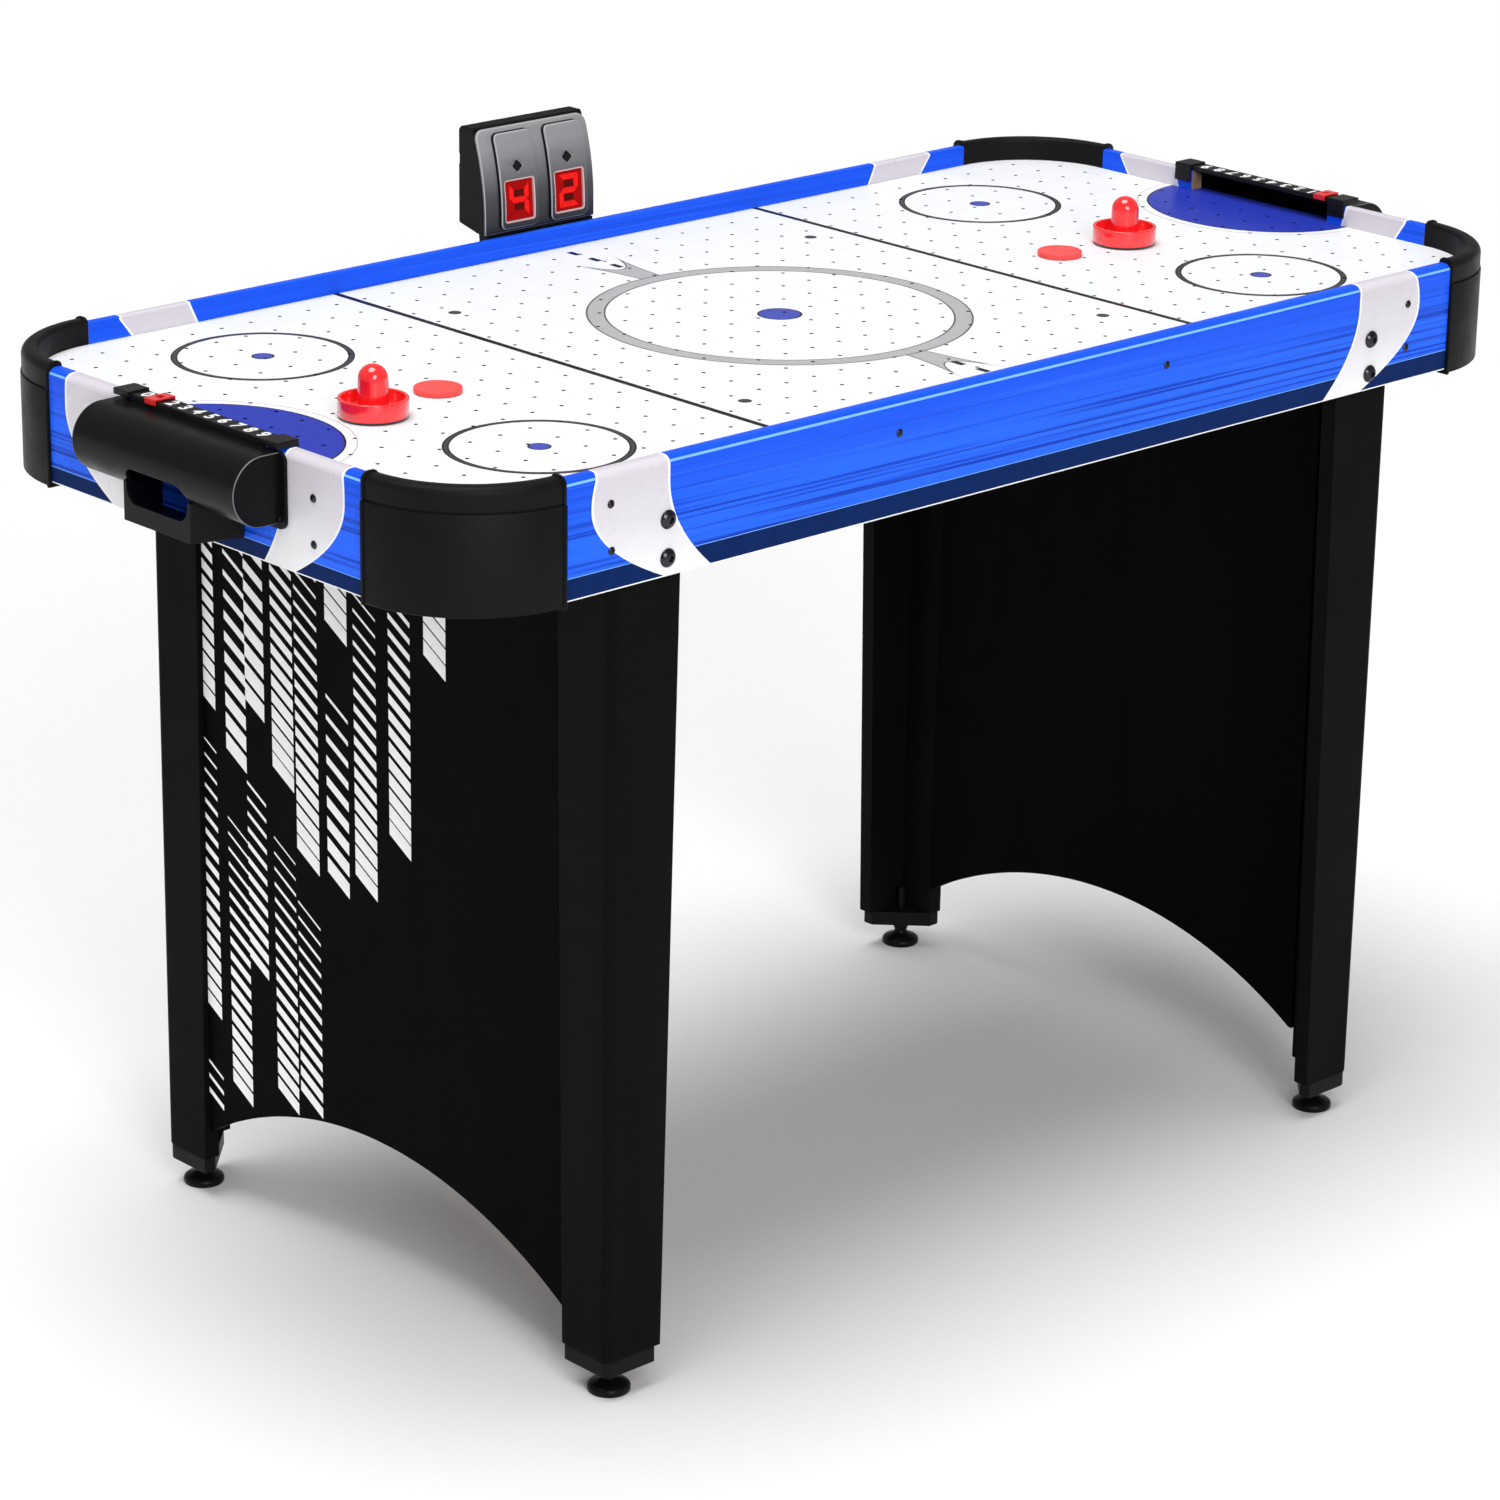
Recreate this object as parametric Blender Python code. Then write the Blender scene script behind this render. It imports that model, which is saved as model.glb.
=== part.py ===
"""Air hockey table: a four-foot table on two panelled leg pairs, with its score unit,
blower, strikers and pucks. Every separate piece of the table is one object.

Frame: metres, +Z up. +X runs along the table, +Y towards the score unit.
The origin is on the floor, under the middle of the whole object.
"""
import math

import bmesh
import bpy
from mathutils import Matrix, Vector

MM = 0.001
GAP = 0.3 * MM                      # clearance kept between touching pieces
THROUGH = 60 * MM                   # long enough for a cutter to pass through any board

# ---- driving dimensions --------------------------------------------------------
TABLE_LENGTH = 1219 * MM
TABLE_WIDTH = 600 * MM
RAIL_TOP = 776 * MM
RAIL_BOTTOM = 682.5 * MM
RAIL_THICKNESS = 13 * MM
RAIL_ROUND_OUT = 7 * MM
RAIL_ROUND_IN = 2 * MM
FIELD_TOP = 758 * MM                # the playing surface
HALF_LENGTH = TABLE_LENGTH / 2
HALF_WIDTH = TABLE_WIDTH / 2

# Corner caps: a quarter ring with a raised collar at both ends.
CAP_RADIUS = 102 * MM               # outer radius of the rails' line round the corner
CAP_PROUD = 2 * MM
CAP_TOP = 779 * MM
CAP_BOTTOM = 679.5 * MM
CAP_LEDGE = 759 * MM                # the thin step below the rounded top band
CAP_ROUND_OUT = 7 * MM
CAP_ROUND_IN = 4 * MM
CAP_STEP = 1 * MM                   # how far the top band is set back above the ledge
CAP_SEGMENTS = 12
COLLAR_LENGTH = 3 * MM
COLLAR_PROUD = 1.2 * MM
RAIL_END = CAP_RADIUS + COLLAR_LENGTH + GAP

# Score unit, hung on the back rail.
UNIT_LEFT = -72 * MM
UNIT_RIGHT = 53.5 * MM
UNIT_CENTRE = (UNIT_LEFT + UNIT_RIGHT) / 2
UNIT_FRONT = HALF_WIDTH + 1 * MM    # front of the face at its foot, from the table's middle
UNIT_BACK = HALF_WIDTH + 37 * MM
UNIT_BOTTOM = 777 * MM
UNIT_TOP = 869 * MM
FACE_CORNER = 9 * MM
FACE_THICKNESS = 2.5 * MM
FACE_STRAIGHT = 791 * MM            # height where the face starts to lean back
FACE_RADIUS = 212 * MM
FACE_TOP = 867 * MM
PANEL_PROUD = 4 * MM
PANEL_BOTTOM_EDGE = 780 * MM
PANEL_TOP_EDGE = 863 * MM
PANEL_WIDTH = 42 * MM
PANEL_CENTRES = (-35 * MM, 22 * MM)
WINDOW_WIDTH = 32 * MM
WINDOW_BOTTOM_EDGE = 787 * MM
WINDOW_TOP_EDGE = 822 * MM
BUTTON_HEIGHT = 834 * MM
BUTTON_SIZE = 5 * MM
CASE_WALL = 2 * MM
CASE_BEVEL = 3 * MM
CURVE_STEPS = 12
COVER_HALF = 30 * MM
COVER_BOTTOM = 785 * MM
COVER_TOP = 825 * MM
COVER_THICKNESS = 2 * MM
COVER_SLACK = 0.4 * MM
CIRCUIT_MARGIN = 12 * MM            # circuit board in from the sides of the case
CIRCUIT_DEPTH = 13 * MM
CIRCUIT_THICKNESS = 1.6 * MM
CIRCUIT_LOW = 785 * MM
CIRCUIT_HIGH = 839 * MM
LENS_THICKNESS = 3 * MM
LENS_SLACK = 0.5 * MM
BUTTON_LENGTH = 13 * MM
BUTTON_PROUD = 1.5 * MM
BUTTON_SLACK = 0.6 * MM
NOTCH_HEIGHT = 840 * MM             # middle of the finger notch in both sides
NOTCH_HALF = 7 * MM
HANGER_DROP = 70 * MM               # how far the hanging bracket reaches down the rail
HANGER_DEPTH = 12 * MM
HANGER_MARGIN = 2 * MM

# The table stands off-centre, so that the whole object is centred on the origin.
TABLE_Y = (HALF_WIDTH + CAP_PROUD + COLLAR_PROUD - UNIT_BACK) / 2

# Air chamber under the playing surface.
FIELD_THICKNESS = 4 * MM
FRAME_TOP = FIELD_TOP - FIELD_THICKNESS - GAP
FRAME_HEIGHT = 11.4 * MM
FRAME_WIDTH = 12 * MM
BOARD_TOP = FRAME_TOP - FRAME_HEIGHT - GAP
BOARD_THICKNESS = 3 * MM
BOARD_BOTTOM = BOARD_TOP - BOARD_THICKNESS

# Goals.
GOAL_HALF = 82 * MM                 # half the notch in the end rail
BOX_HALF = 101 * MM                 # half the length of the puck box's barrel
BOX_TOP = 774 * MM
BOX_RADIUS = 27.5 * MM
BOX_REACH = 46.5 * MM               # how far the barrel stands out from the rail
BOX_WALL = 2.5 * MM
FLANGE_HALF = 107 * MM
FLANGE_BOTTOM = 714 * MM
FLANGE_THICKNESS = 3 * MM
FLANGE_ROUND = 7 * MM
TRAY_BACK_HALF = 54 * MM
TRAY_FRONT_HALF = 42 * MM
TRAY_REACH = 42 * MM
TRAY_TOP = 728 * MM
TRAY_BOTTOM = 696 * MM
WINDOW_HALF = 38 * MM
WINDOW_LOW = 711 * MM
WINDOW_HIGH = 734 * MM
WINDOW_ROUND = 8 * MM

# Score bar over the goal, and the clip that slides along it.
BAR_HALF = 102 * MM
BAR_BLOCK = 19 * MM                 # length of the block at each end of the bar
BLOCK_PROUD = 2.4 * MM
BAR_INNER = HALF_LENGTH - 12.7 * MM
BAR_OUTER = HALF_LENGTH + 3.5 * MM
BAR_TOP = 780 * MM
BAR_BOTTOM = RAIL_TOP + GAP
BLOCK_TOP = 781.5 * MM
BLOCK_FOOT = 765 * MM
DIGIT_PITCH = 16 * MM
DIGIT_FIRST = -4.5 * DIGIT_PITCH    # place of digit 0, seen from the player's left
CLIP_HALF = 6.5 * MM
CLIP_WALL = 1.6 * MM
CLIP_SLACK = 0.4 * MM
CLIP_BORDER = 2.5 * MM              # what is left of the clip round its window
CLIP_SKIRT = 777.2 * MM
LEFT_SCORE = 1
RIGHT_SCORE = 0

# Legs: two boards in an L, tapering downwards, on a plastic foot bracket.
LEG_X = 447 * MM
LEG_Y = HALF_WIDTH - RAIL_THICKNESS - 0.5 * MM
LEG_TOP = BOARD_BOTTOM - GAP
LEG_BOTTOM = 36 * MM
LEG_BOARD = 15 * MM
LEG_RADIUS = 8 * MM
SIDE_WIDTH_TOP = 71 * MM
SIDE_WIDTH_BOTTOM = 57 * MM
END_WIDTH_TOP = 62 * MM
END_WIDTH_BOTTOM = 54 * MM
BRACKET_BOTTOM = 22 * MM
BRACKET_SPAN = 52 * MM
BRACKET_END = 12 * MM
BRACKET_INSET = 1 * MM
BRACKET_HOLE = 4.4 * MM
FOOT_INSET = 22 * MM                # foot's axis from the leg's two outer faces
FOOT_RADIUS = 17.5 * MM
FOOT_NECK = 7 * MM
FOOT_STEM = 4 * MM
FOOT_STEM_TOP = 58 * MM

# End panels with an arched lower edge.
PANEL_RECESS = 5 * MM               # how far the panel is set back between the legs
PANEL_THICKNESS = 12 * MM
PANEL_BOTTOM = 64 * MM
ARCH_HALF = 228 * MM
ARCH_RISE = 66 * MM

# Bolts through the side rails into the legs.
BOLT_X = 403 * MM
BOLT_HEIGHTS = (697 * MM, 727 * MM)
BOLT_RADIUS = 3 * MM
BOLT_HEAD_RADIUS = 7.5 * MM
BOLT_HEAD_HEIGHT = 4 * MM
BOLT_LENGTH = 38 * MM

# Blower under the air chamber.
BLOWER_RADIUS = 60 * MM
BLOWER_FLANGE = 70 * MM
BLOWER_DEPTH = 44 * MM
BLOWER_WALL = 2.5 * MM
BLOWER_LIP = 2.5 * MM               # thickness of the flange and of the roof
OUTLET_RADIUS = 35 * MM
MOTOR_RADIUS = 18 * MM
SHAFT_RADIUS = 2 * MM
WHEEL_RADIUS = 50 * MM
BLADES = 12
GRILLE_SLOTS = 16
SLOT_WIDTH = 6 * MM
MOTOR_HEIGHT = 18 * MM
PLATE_DROP = 8 * MM                 # impeller plate below the housing's top
PLATE_THICKNESS = 2 * MM
BLADE_START = 32 * MM
BLADE_END = 47 * MM
BLADE_DROP = 20 * MM
BLADE_THICKNESS = 1.6 * MM
BLOWER_TOP = BOARD_BOTTOM - GAP
BLOWER_BOTTOM = BLOWER_TOP - BLOWER_DEPTH
GRILLE_THICKNESS = 2 * MM
GRILLE_TOP = BLOWER_BOTTOM - GAP

# Power inlet in the back rail.
SOCKET_X = 300 * MM
SOCKET_HEIGHT = 706 * MM
SOCKET_RADIUS = 5.5 * MM
SOCKET_BORE = 3.2 * MM
SOCKET_RIM = 8 * MM
SOCKET_DEPTH = RAIL_THICKNESS + 8 * MM

# Strikers and pucks, placed from the table's middle.
STRIKER_RADIUS = 28 * MM
STRIKER_CUP = 25 * MM
STRIKER_RIM = 16 * MM
KNOB_RADIUS = 12 * MM
STRIKER_HEIGHT = 42 * MM
FELT_THICKNESS = 1.5 * MM
PUCK_RADIUS = 19.5 * MM
PUCK_THICKNESS = 4.5 * MM
STRIKERS = {"left": (-463 * MM, -27 * MM), "right": (397 * MM, -18 * MM)}
PUCKS = {"left": (-380 * MM, -5 * MM), "right": (320 * MM, -13 * MM)}

SIDES = {"left": -1, "right": 1}
ROWS = {"front": -1, "back": 1}

# ---- scene and materials --------------------------------------------------------


def clear_scene():
    for obj in list(bpy.data.objects):
        bpy.data.objects.remove(obj, do_unlink=True)


def make_collection(name):
    collection = bpy.data.collections.new(name)
    bpy.context.scene.collection.children.link(collection)
    return collection


def make_material(name, colour, roughness, metallic=0.0):
    material = bpy.data.materials.new(name)
    material.use_nodes = True
    shader = material.node_tree.nodes["Principled BSDF"]
    shader.inputs["Base Color"].default_value = (*colour, 1.0)
    shader.inputs["Roughness"].default_value = roughness
    shader.inputs["Metallic"].default_value = metallic
    return material


clear_scene()
PARTS = make_collection("air_hockey_table")
CUTTERS = make_collection("cutters")

FINISHES = {
    "white_laminate": ((0.88, 0.89, 0.91), 0.25, 0.0),
    "blue_laminate": ((0.02, 0.12, 0.87), 0.30, 0.0),
    "black_laminate": ((0.012, 0.012, 0.013), 0.45, 0.0),
    "black_plastic": ((0.018, 0.018, 0.019), 0.50, 0.0),
    "grey_plastic": ((0.11, 0.115, 0.12), 0.40, 0.0),
    "raw_board": ((0.42, 0.27, 0.15), 0.80, 0.0),
    "red_plastic": ((0.78, 0.01, 0.02), 0.22, 0.0),
    "red_window": ((0.55, 0.0, 0.01), 0.10, 0.0),
    "black_felt": ((0.02, 0.02, 0.02), 0.95, 0.0),
    "black_steel": ((0.02, 0.02, 0.02), 0.35, 1.0),
    "bright_steel": ((0.60, 0.60, 0.62), 0.30, 1.0),
    "green_board": ((0.02, 0.16, 0.05), 0.50, 0.0),
}


# ---- modelling helpers ----------------------------------------------------------


def keep(name, mesh, finish, place=(0.0, 0.0), turn=0.0):
    """Make one named sub-part, placed from the table's middle, with its own material."""
    obj = bpy.data.objects.new(name, mesh)
    obj.location = (place[0], TABLE_Y + place[1], 0.0)
    obj.rotation_euler.z = turn
    colour, roughness, metallic = FINISHES[finish]
    mesh.materials.append(make_material(name + "_finish", colour, roughness, metallic))
    PARTS.objects.link(obj)
    return obj


def to_mesh(bm, name, smooth_angle=None):
    bmesh.ops.recalc_face_normals(bm, faces=bm.faces)
    mesh = bpy.data.meshes.new(name)
    bm.to_mesh(mesh)
    bm.free()
    if smooth_angle is not None:
        mesh.shade_smooth()
        mesh.set_sharp_from_angle(angle=math.radians(smooth_angle))
    return mesh


def box_bmesh(low, high):
    bm = bmesh.new()
    bmesh.ops.create_cube(bm, size=1.0)
    low = Vector(low)
    high = Vector(high)
    size = high - low
    bmesh.ops.scale(bm, vec=size, verts=bm.verts)
    bmesh.ops.translate(bm, vec=(low + high) / 2, verts=bm.verts)
    return bm


def box_mesh(name, low, high):
    return to_mesh(box_bmesh(low, high), name)


def extruded(name, outline, vector, smooth_angle=None):
    """A flat outline of 3-D points, extruded along a vector into a closed solid."""
    bm = bmesh.new()
    verts = [bm.verts.new(point) for point in outline]
    face = bm.faces.new(verts)
    grown = bmesh.ops.extrude_face_region(bm, geom=[face])
    moved = [item for item in grown["geom"] if isinstance(item, bmesh.types.BMVert)]
    bmesh.ops.translate(bm, vec=Vector(vector), verts=moved)
    return to_mesh(bm, name, smooth_angle)


def lofted(name, rings, smooth_angle=None):
    """A closed solid through rings of equally many points, capped at both ends."""
    bm = bmesh.new()
    loops = [[bm.verts.new(point) for point in ring] for ring in rings]
    count = len(rings[0])
    for lower, upper in zip(loops, loops[1:]):
        for index in range(count):
            after = (index + 1) % count
            bm.faces.new((lower[index], lower[after], upper[after], upper[index]))
    bm.faces.new(loops[0])
    bm.faces.new(loops[-1])
    bmesh.ops.remove_doubles(bm, verts=bm.verts, dist=0.001 * MM)
    return to_mesh(bm, name, smooth_angle)


def turned(name, profile, steps, smooth_angle=35, closed=False):
    """A solid turned about Z from a profile of (radius, height) points, top to bottom."""
    bm = bmesh.new()
    verts = [bm.verts.new((radius, 0.0, height)) for radius, height in profile]
    for first, second in zip(verts, verts[1:]):
        bm.edges.new((first, second))
    if closed:
        bm.edges.new((verts[-1], verts[0]))
    bmesh.ops.spin(bm, geom=bm.verts[:] + bm.edges[:], cent=(0, 0, 0), axis=(0, 0, 1),
                   angle=2 * math.pi, steps=steps, use_merge=True)
    bmesh.ops.remove_doubles(bm, verts=bm.verts, dist=0.001 * MM)
    return to_mesh(bm, name, smooth_angle)


def arc(centre, radius, start, end, steps):
    """Points along an arc, in degrees, both ends included."""
    points = []
    for step in range(steps + 1):
        angle = math.radians(start + (end - start) * step / steps)
        points.append((centre[0] + radius * math.cos(angle),
                       centre[1] + radius * math.sin(angle)))
    return points


def rounded_rectangle(low, high, radius, steps):
    """Outline of a rectangle with four equal round corners, anticlockwise."""
    left, bottom = low[0] + radius, low[1] + radius
    right, top = high[0] - radius, high[1] - radius
    outline = arc((right, top), radius, 0, 90, steps)
    outline += arc((left, top), radius, 90, 180, steps)
    outline += arc((left, bottom), radius, 180, 270, steps)
    outline += arc((right, bottom), radius, 270, 360, steps)
    return outline


def in_plane(outline, axis, level):
    """Lift 2-D points to 3-D: axis X reads (y, z), axis Y reads (x, z), axis Z (x, y)."""
    if axis == "X":
        return [Vector((level, first, second)) for first, second in outline]
    if axis == "Y":
        return [Vector((first, level, second)) for first, second in outline]
    return [Vector((first, second, level)) for first, second in outline]


def turned_to(mesh, axis, centre):
    """Lay a mesh that was turned about Z along another axis, at a centre."""
    tilt = Matrix.Identity(4)
    if axis == "Y":
        tilt = Matrix.Rotation(math.radians(90), 4, "X")
    mesh.transform(Matrix.Translation(centre) @ tilt)
    return mesh


def boolean(target, mesh, operation):
    """Cut or join a helper mesh, given in the target's own coordinates."""
    cutter = bpy.data.objects.new(mesh.name, mesh)
    cutter.matrix_world = target.matrix_basis
    cutter.hide_render = True
    cutter.display_type = "WIRE"
    CUTTERS.objects.link(cutter)
    modifier = target.modifiers.new(mesh.name, "BOOLEAN")
    modifier.object = cutter
    modifier.operation = operation
    modifier.solver = "EXACT"


def cut(target, mesh):
    boolean(target, mesh, "DIFFERENCE")


def join(target, mesh):
    boolean(target, mesh, "UNION")


def rod_mesh(name, radius, length, steps):
    """A plain cylinder about Z, from half its length below the origin to half above."""
    profile = [(0, length / 2), (radius, length / 2), (radius, -length / 2), (0, -length / 2)]
    return turned(name, profile, steps)


# ---- playing surface and air chamber ---------------------------------------------


def field_outline(inset, steps=8):
    """The shape inside the rails and corner caps, shrunk by an inset."""
    half_x = HALF_LENGTH - RAIL_THICKNESS - GAP - inset
    half_y = HALF_WIDTH - RAIL_THICKNESS - GAP - inset
    radius = CAP_RADIUS - RAIL_THICKNESS - GAP - inset
    return rounded_rectangle((-half_x, -half_y), (half_x, half_y), radius, steps)


def build_playfield():
    outline = in_plane(field_outline(0.0), "Z", FIELD_TOP - FIELD_THICKNESS)
    keep("playfield", extruded("playfield", outline, (0, 0, FIELD_THICKNESS)),
         "white_laminate")


def build_air_chamber():
    bottom = FRAME_TOP - FRAME_HEIGHT
    outer = in_plane(field_outline(0.0), "Z", bottom)
    ring = keep("chamber_frame", extruded("chamber_frame", outer, (0, 0, FRAME_HEIGHT)),
                "raw_board")
    opening = in_plane(field_outline(FRAME_WIDTH), "Z", bottom - THROUGH / 2)
    cut(ring, extruded("chamber_opening", opening, (0, 0, THROUGH)))

    sheet = in_plane(field_outline(0.0), "Z", BOARD_BOTTOM)
    board = keep("chamber_board", extruded("chamber_board", sheet, (0, 0, BOARD_THICKNESS)),
                 "raw_board")
    hole = rod_mesh("air_inlet", OUTLET_RADIUS, THROUGH, 32)
    cut(board, turned_to(hole, "Z", (0, 0, BOARD_BOTTOM)))


# ---- rails and corner caps -----------------------------------------------------------


def rail_section():
    """Rail's cross-section: distance in from its outer face, and height."""
    outer = arc((RAIL_ROUND_OUT, RAIL_TOP - RAIL_ROUND_OUT), RAIL_ROUND_OUT, 180, 90, 5)
    inner = arc((RAIL_THICKNESS - RAIL_ROUND_IN, RAIL_TOP - RAIL_ROUND_IN), RAIL_ROUND_IN,
                90, 0, 3)
    return outer + inner + [(RAIL_THICKNESS, RAIL_BOTTOM), (0.0, RAIL_BOTTOM)]


def build_side_rails():
    half = HALF_LENGTH - RAIL_END
    for row, sign in ROWS.items():
        section = [Vector((-half, sign * (HALF_WIDTH - depth), height))
                   for depth, height in rail_section()]
        mesh = extruded(f"side_rail_{row}", section, (2 * half, 0, 0), 40)
        rail = keep(f"side_rail_{row}", mesh, "blue_laminate")
        for side in SIDES.values():
            for height in BOLT_HEIGHTS:
                hole = rod_mesh(f"rail_bolt_hole_{row}", BOLT_RADIUS + GAP, THROUGH, 16)
                centre = (side * BOLT_X, sign * HALF_WIDTH, height)
                cut(rail, turned_to(hole, "Y", centre))
        if row == "back":
            hole = rod_mesh("socket_hole", SOCKET_RADIUS + GAP, THROUGH, 20)
            cut(rail, turned_to(hole, "Y", (SOCKET_X, HALF_WIDTH, SOCKET_HEIGHT)))


def build_end_rails():
    half = HALF_WIDTH - RAIL_END
    for name, side in SIDES.items():
        section = [Vector((side * (HALF_LENGTH - depth), -half, height))
                   for depth, height in rail_section()]
        mesh = extruded(f"end_rail_{name}", section, (0, 2 * half, 0), 40)
        rail = keep(f"end_rail_{name}", mesh, "blue_laminate")
        low = (side * HALF_LENGTH - THROUGH / 2, -GOAL_HALF, FIELD_TOP)
        high = (side * HALF_LENGTH + THROUGH / 2, GOAL_HALF, RAIL_TOP + THROUGH)
        cut(rail, box_mesh(f"goal_notch_{name}", low, high))


def cap_section(grow):
    """Corner cap's cross-section as (radius, height); grow swells its outside."""
    inner = CAP_RADIUS - RAIL_THICKNESS
    outer = CAP_RADIUS + CAP_PROUD + grow
    band = outer - CAP_STEP
    top = CAP_TOP + grow
    section = [(inner, CAP_BOTTOM - grow), (inner, CAP_TOP - CAP_ROUND_IN)]
    section += arc((inner + CAP_ROUND_IN, top - CAP_ROUND_IN), CAP_ROUND_IN, 180, 90, 3)
    section += arc((band - CAP_ROUND_OUT, top - CAP_ROUND_OUT), CAP_ROUND_OUT, 90, 0, 4)
    section += [(band, CAP_LEDGE), (outer, CAP_LEDGE - CAP_STEP)]
    section += [(outer, CAP_BOTTOM - grow)]
    return section


def cap_ring(section, angle, advance):
    """The section stood at an angle round the corner, moved on past the arc's end."""
    out = Vector((math.cos(angle), math.sin(angle), 0))
    along = Vector((-math.sin(angle), math.cos(angle), 0))
    return [out * radius + along * advance + Vector((0, 0, height))
            for radius, height in section]


def build_corner_caps():
    body = cap_section(0.0)
    collar = cap_section(COLLAR_PROUD)
    rings = [cap_ring(collar, 0.0, -COLLAR_LENGTH), cap_ring(collar, 0.0, 0.0)]
    rings += [cap_ring(body, math.radians(90 * step / CAP_SEGMENTS), 0.0)
              for step in range(CAP_SEGMENTS + 1)]
    rings += [cap_ring(collar, math.radians(90), 0.0),
              cap_ring(collar, math.radians(90), COLLAR_LENGTH)]
    for name, side in SIDES.items():
        for row, sign in ROWS.items():
            centre = Vector((side * (HALF_LENGTH - CAP_RADIUS),
                             sign * (HALF_WIDTH - CAP_RADIUS), 0))
            placed = [[Vector((side * point.x, sign * point.y, point.z)) + centre
                       for point in ring] for ring in rings]
            mesh = lofted(f"corner_cap_{row}_{name}", placed, 30)
            keep(f"corner_cap_{row}_{name}", mesh, "black_plastic")


# ---- goals ---------------------------------------------------------------------------


def end_turn(name):
    """Goal pieces are drawn for the right end and turned about for the left one."""
    return math.pi if name == "left" else 0.0


def barrel_outline(shrink, back):
    """D-shaped side view (x, z) of the puck box, inset by a wall thickness."""
    radius = BOX_RADIUS - shrink
    centre = (HALF_LENGTH + GAP + BOX_REACH - BOX_RADIUS, BOX_TOP - BOX_RADIUS)
    outline = [(back, BOX_TOP - shrink)]
    outline += arc(centre, radius, 90, -90, 14)
    outline += [(back, BOX_TOP - 2 * BOX_RADIUS + shrink)]
    return outline


def tray_mesh(name, shrink, back):
    """The scoop below the barrel: wide at the rail and narrower at its lip."""
    front = HALF_LENGTH + GAP + TRAY_REACH - shrink
    wide = TRAY_BACK_HALF - shrink
    narrow = TRAY_FRONT_HALF - shrink
    plan = [(back, -wide), (front, -narrow), (front, narrow), (back, wide)]
    bottom = TRAY_BOTTOM + shrink
    return extruded(name, in_plane(plan, "Z", bottom), (0, 0, TRAY_TOP - bottom))


def build_goal_boxes():
    face = HALF_LENGTH + GAP
    behind = HALF_LENGTH - RAIL_THICKNESS
    for name in SIDES:
        low = (-FLANGE_HALF, FLANGE_BOTTOM)
        high = (FLANGE_HALF, BOX_TOP)
        plate = in_plane(rounded_rectangle(low, high, FLANGE_ROUND, 4), "X", face)
        mesh = extruded(f"goal_box_{name}", plate, (FLANGE_THICKNESS, 0, 0), 35)
        box = keep(f"goal_box_{name}", mesh, "black_plastic", turn=end_turn(name))
        barrel = in_plane(barrel_outline(0.0, face + 1 * MM), "Y", -BOX_HALF)
        join(box, extruded(f"barrel_{name}", barrel, (0, 2 * BOX_HALF, 0), 35))
        join(box, tray_mesh(f"tray_{name}", 0.0, face + 0.5 * MM))
        inner_half = BOX_HALF - BOX_WALL
        hollow = in_plane(barrel_outline(BOX_WALL, behind), "Y", -inner_half)
        cut(box, extruded(f"barrel_hollow_{name}", hollow, (0, 2 * inner_half, 0)))
        cut(box, tray_mesh(f"tray_hollow_{name}", BOX_WALL, behind))
        low = (-WINDOW_HALF, WINDOW_LOW)
        high = (WINDOW_HALF, WINDOW_HIGH)
        window = rounded_rectangle(low, high, WINDOW_ROUND, 4)
        start = HALF_LENGTH + BOX_REACH / 2
        cut(box, extruded(f"window_{name}", in_plane(window, "X", start), (THROUGH, 0, 0)))


def build_score_bars():
    for name in SIDES:
        inner = BAR_INNER - BLOCK_PROUD
        low = (BAR_INNER, BLOCK_PROUD - BAR_HALF, BAR_BOTTOM)
        high = (BAR_OUTER, BAR_HALF - BLOCK_PROUD, BAR_TOP)
        bar = keep(f"score_bar_{name}", box_mesh(f"score_bar_{name}", low, high),
                   "black_plastic", turn=end_turn(name))
        for end in (-1, 1):
            near = end * (BAR_HALF - BAR_BLOCK)
            far = end * BAR_HALF
            low_y, high_y = sorted((near, far))
            head = box_mesh(f"bar_block_{name}", (inner, low_y, BAR_BOTTOM),
                            (BAR_OUTER + BLOCK_PROUD, high_y, BLOCK_TOP))
            join(bar, head)
            toe = box_mesh(f"bar_toe_{name}", (inner, low_y, BLOCK_FOOT),
                           (HALF_LENGTH - RAIL_THICKNESS - GAP, high_y, BAR_TOP))
            join(bar, toe)


def build_score_sliders():
    scores = {"left": LEFT_SCORE, "right": RIGHT_SCORE}
    for name, score in scores.items():
        inner = BAR_INNER - CLIP_SLACK
        outer = BAR_OUTER + CLIP_SLACK
        roof = BAR_TOP + CLIP_SLACK
        outline = [(inner - CLIP_WALL, CLIP_SKIRT), (inner, CLIP_SKIRT), (inner, roof),
                   (outer, roof), (outer, CLIP_SKIRT), (outer + CLIP_WALL, CLIP_SKIRT),
                   (outer + CLIP_WALL, roof + CLIP_WALL),
                   (inner - CLIP_WALL, roof + CLIP_WALL)]
        middle = DIGIT_FIRST + score * DIGIT_PITCH
        section = in_plane(outline, "Y", middle - CLIP_HALF)
        mesh = extruded(f"score_slider_{name}", section, (0, 2 * CLIP_HALF, 0))
        clip = keep(f"score_slider_{name}", mesh, "red_plastic", turn=end_turn(name))
        half = CLIP_HALF - CLIP_BORDER
        low = (BAR_INNER + 2 * CLIP_BORDER, middle - half, roof - CLIP_WALL)
        high = (BAR_OUTER - 2 * CLIP_BORDER, middle + half, roof + THROUGH)
        cut(clip, box_mesh(f"clip_window_{name}", low, high))


# ---- legs, feet and end panels ------------------------------------------------------------


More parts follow.
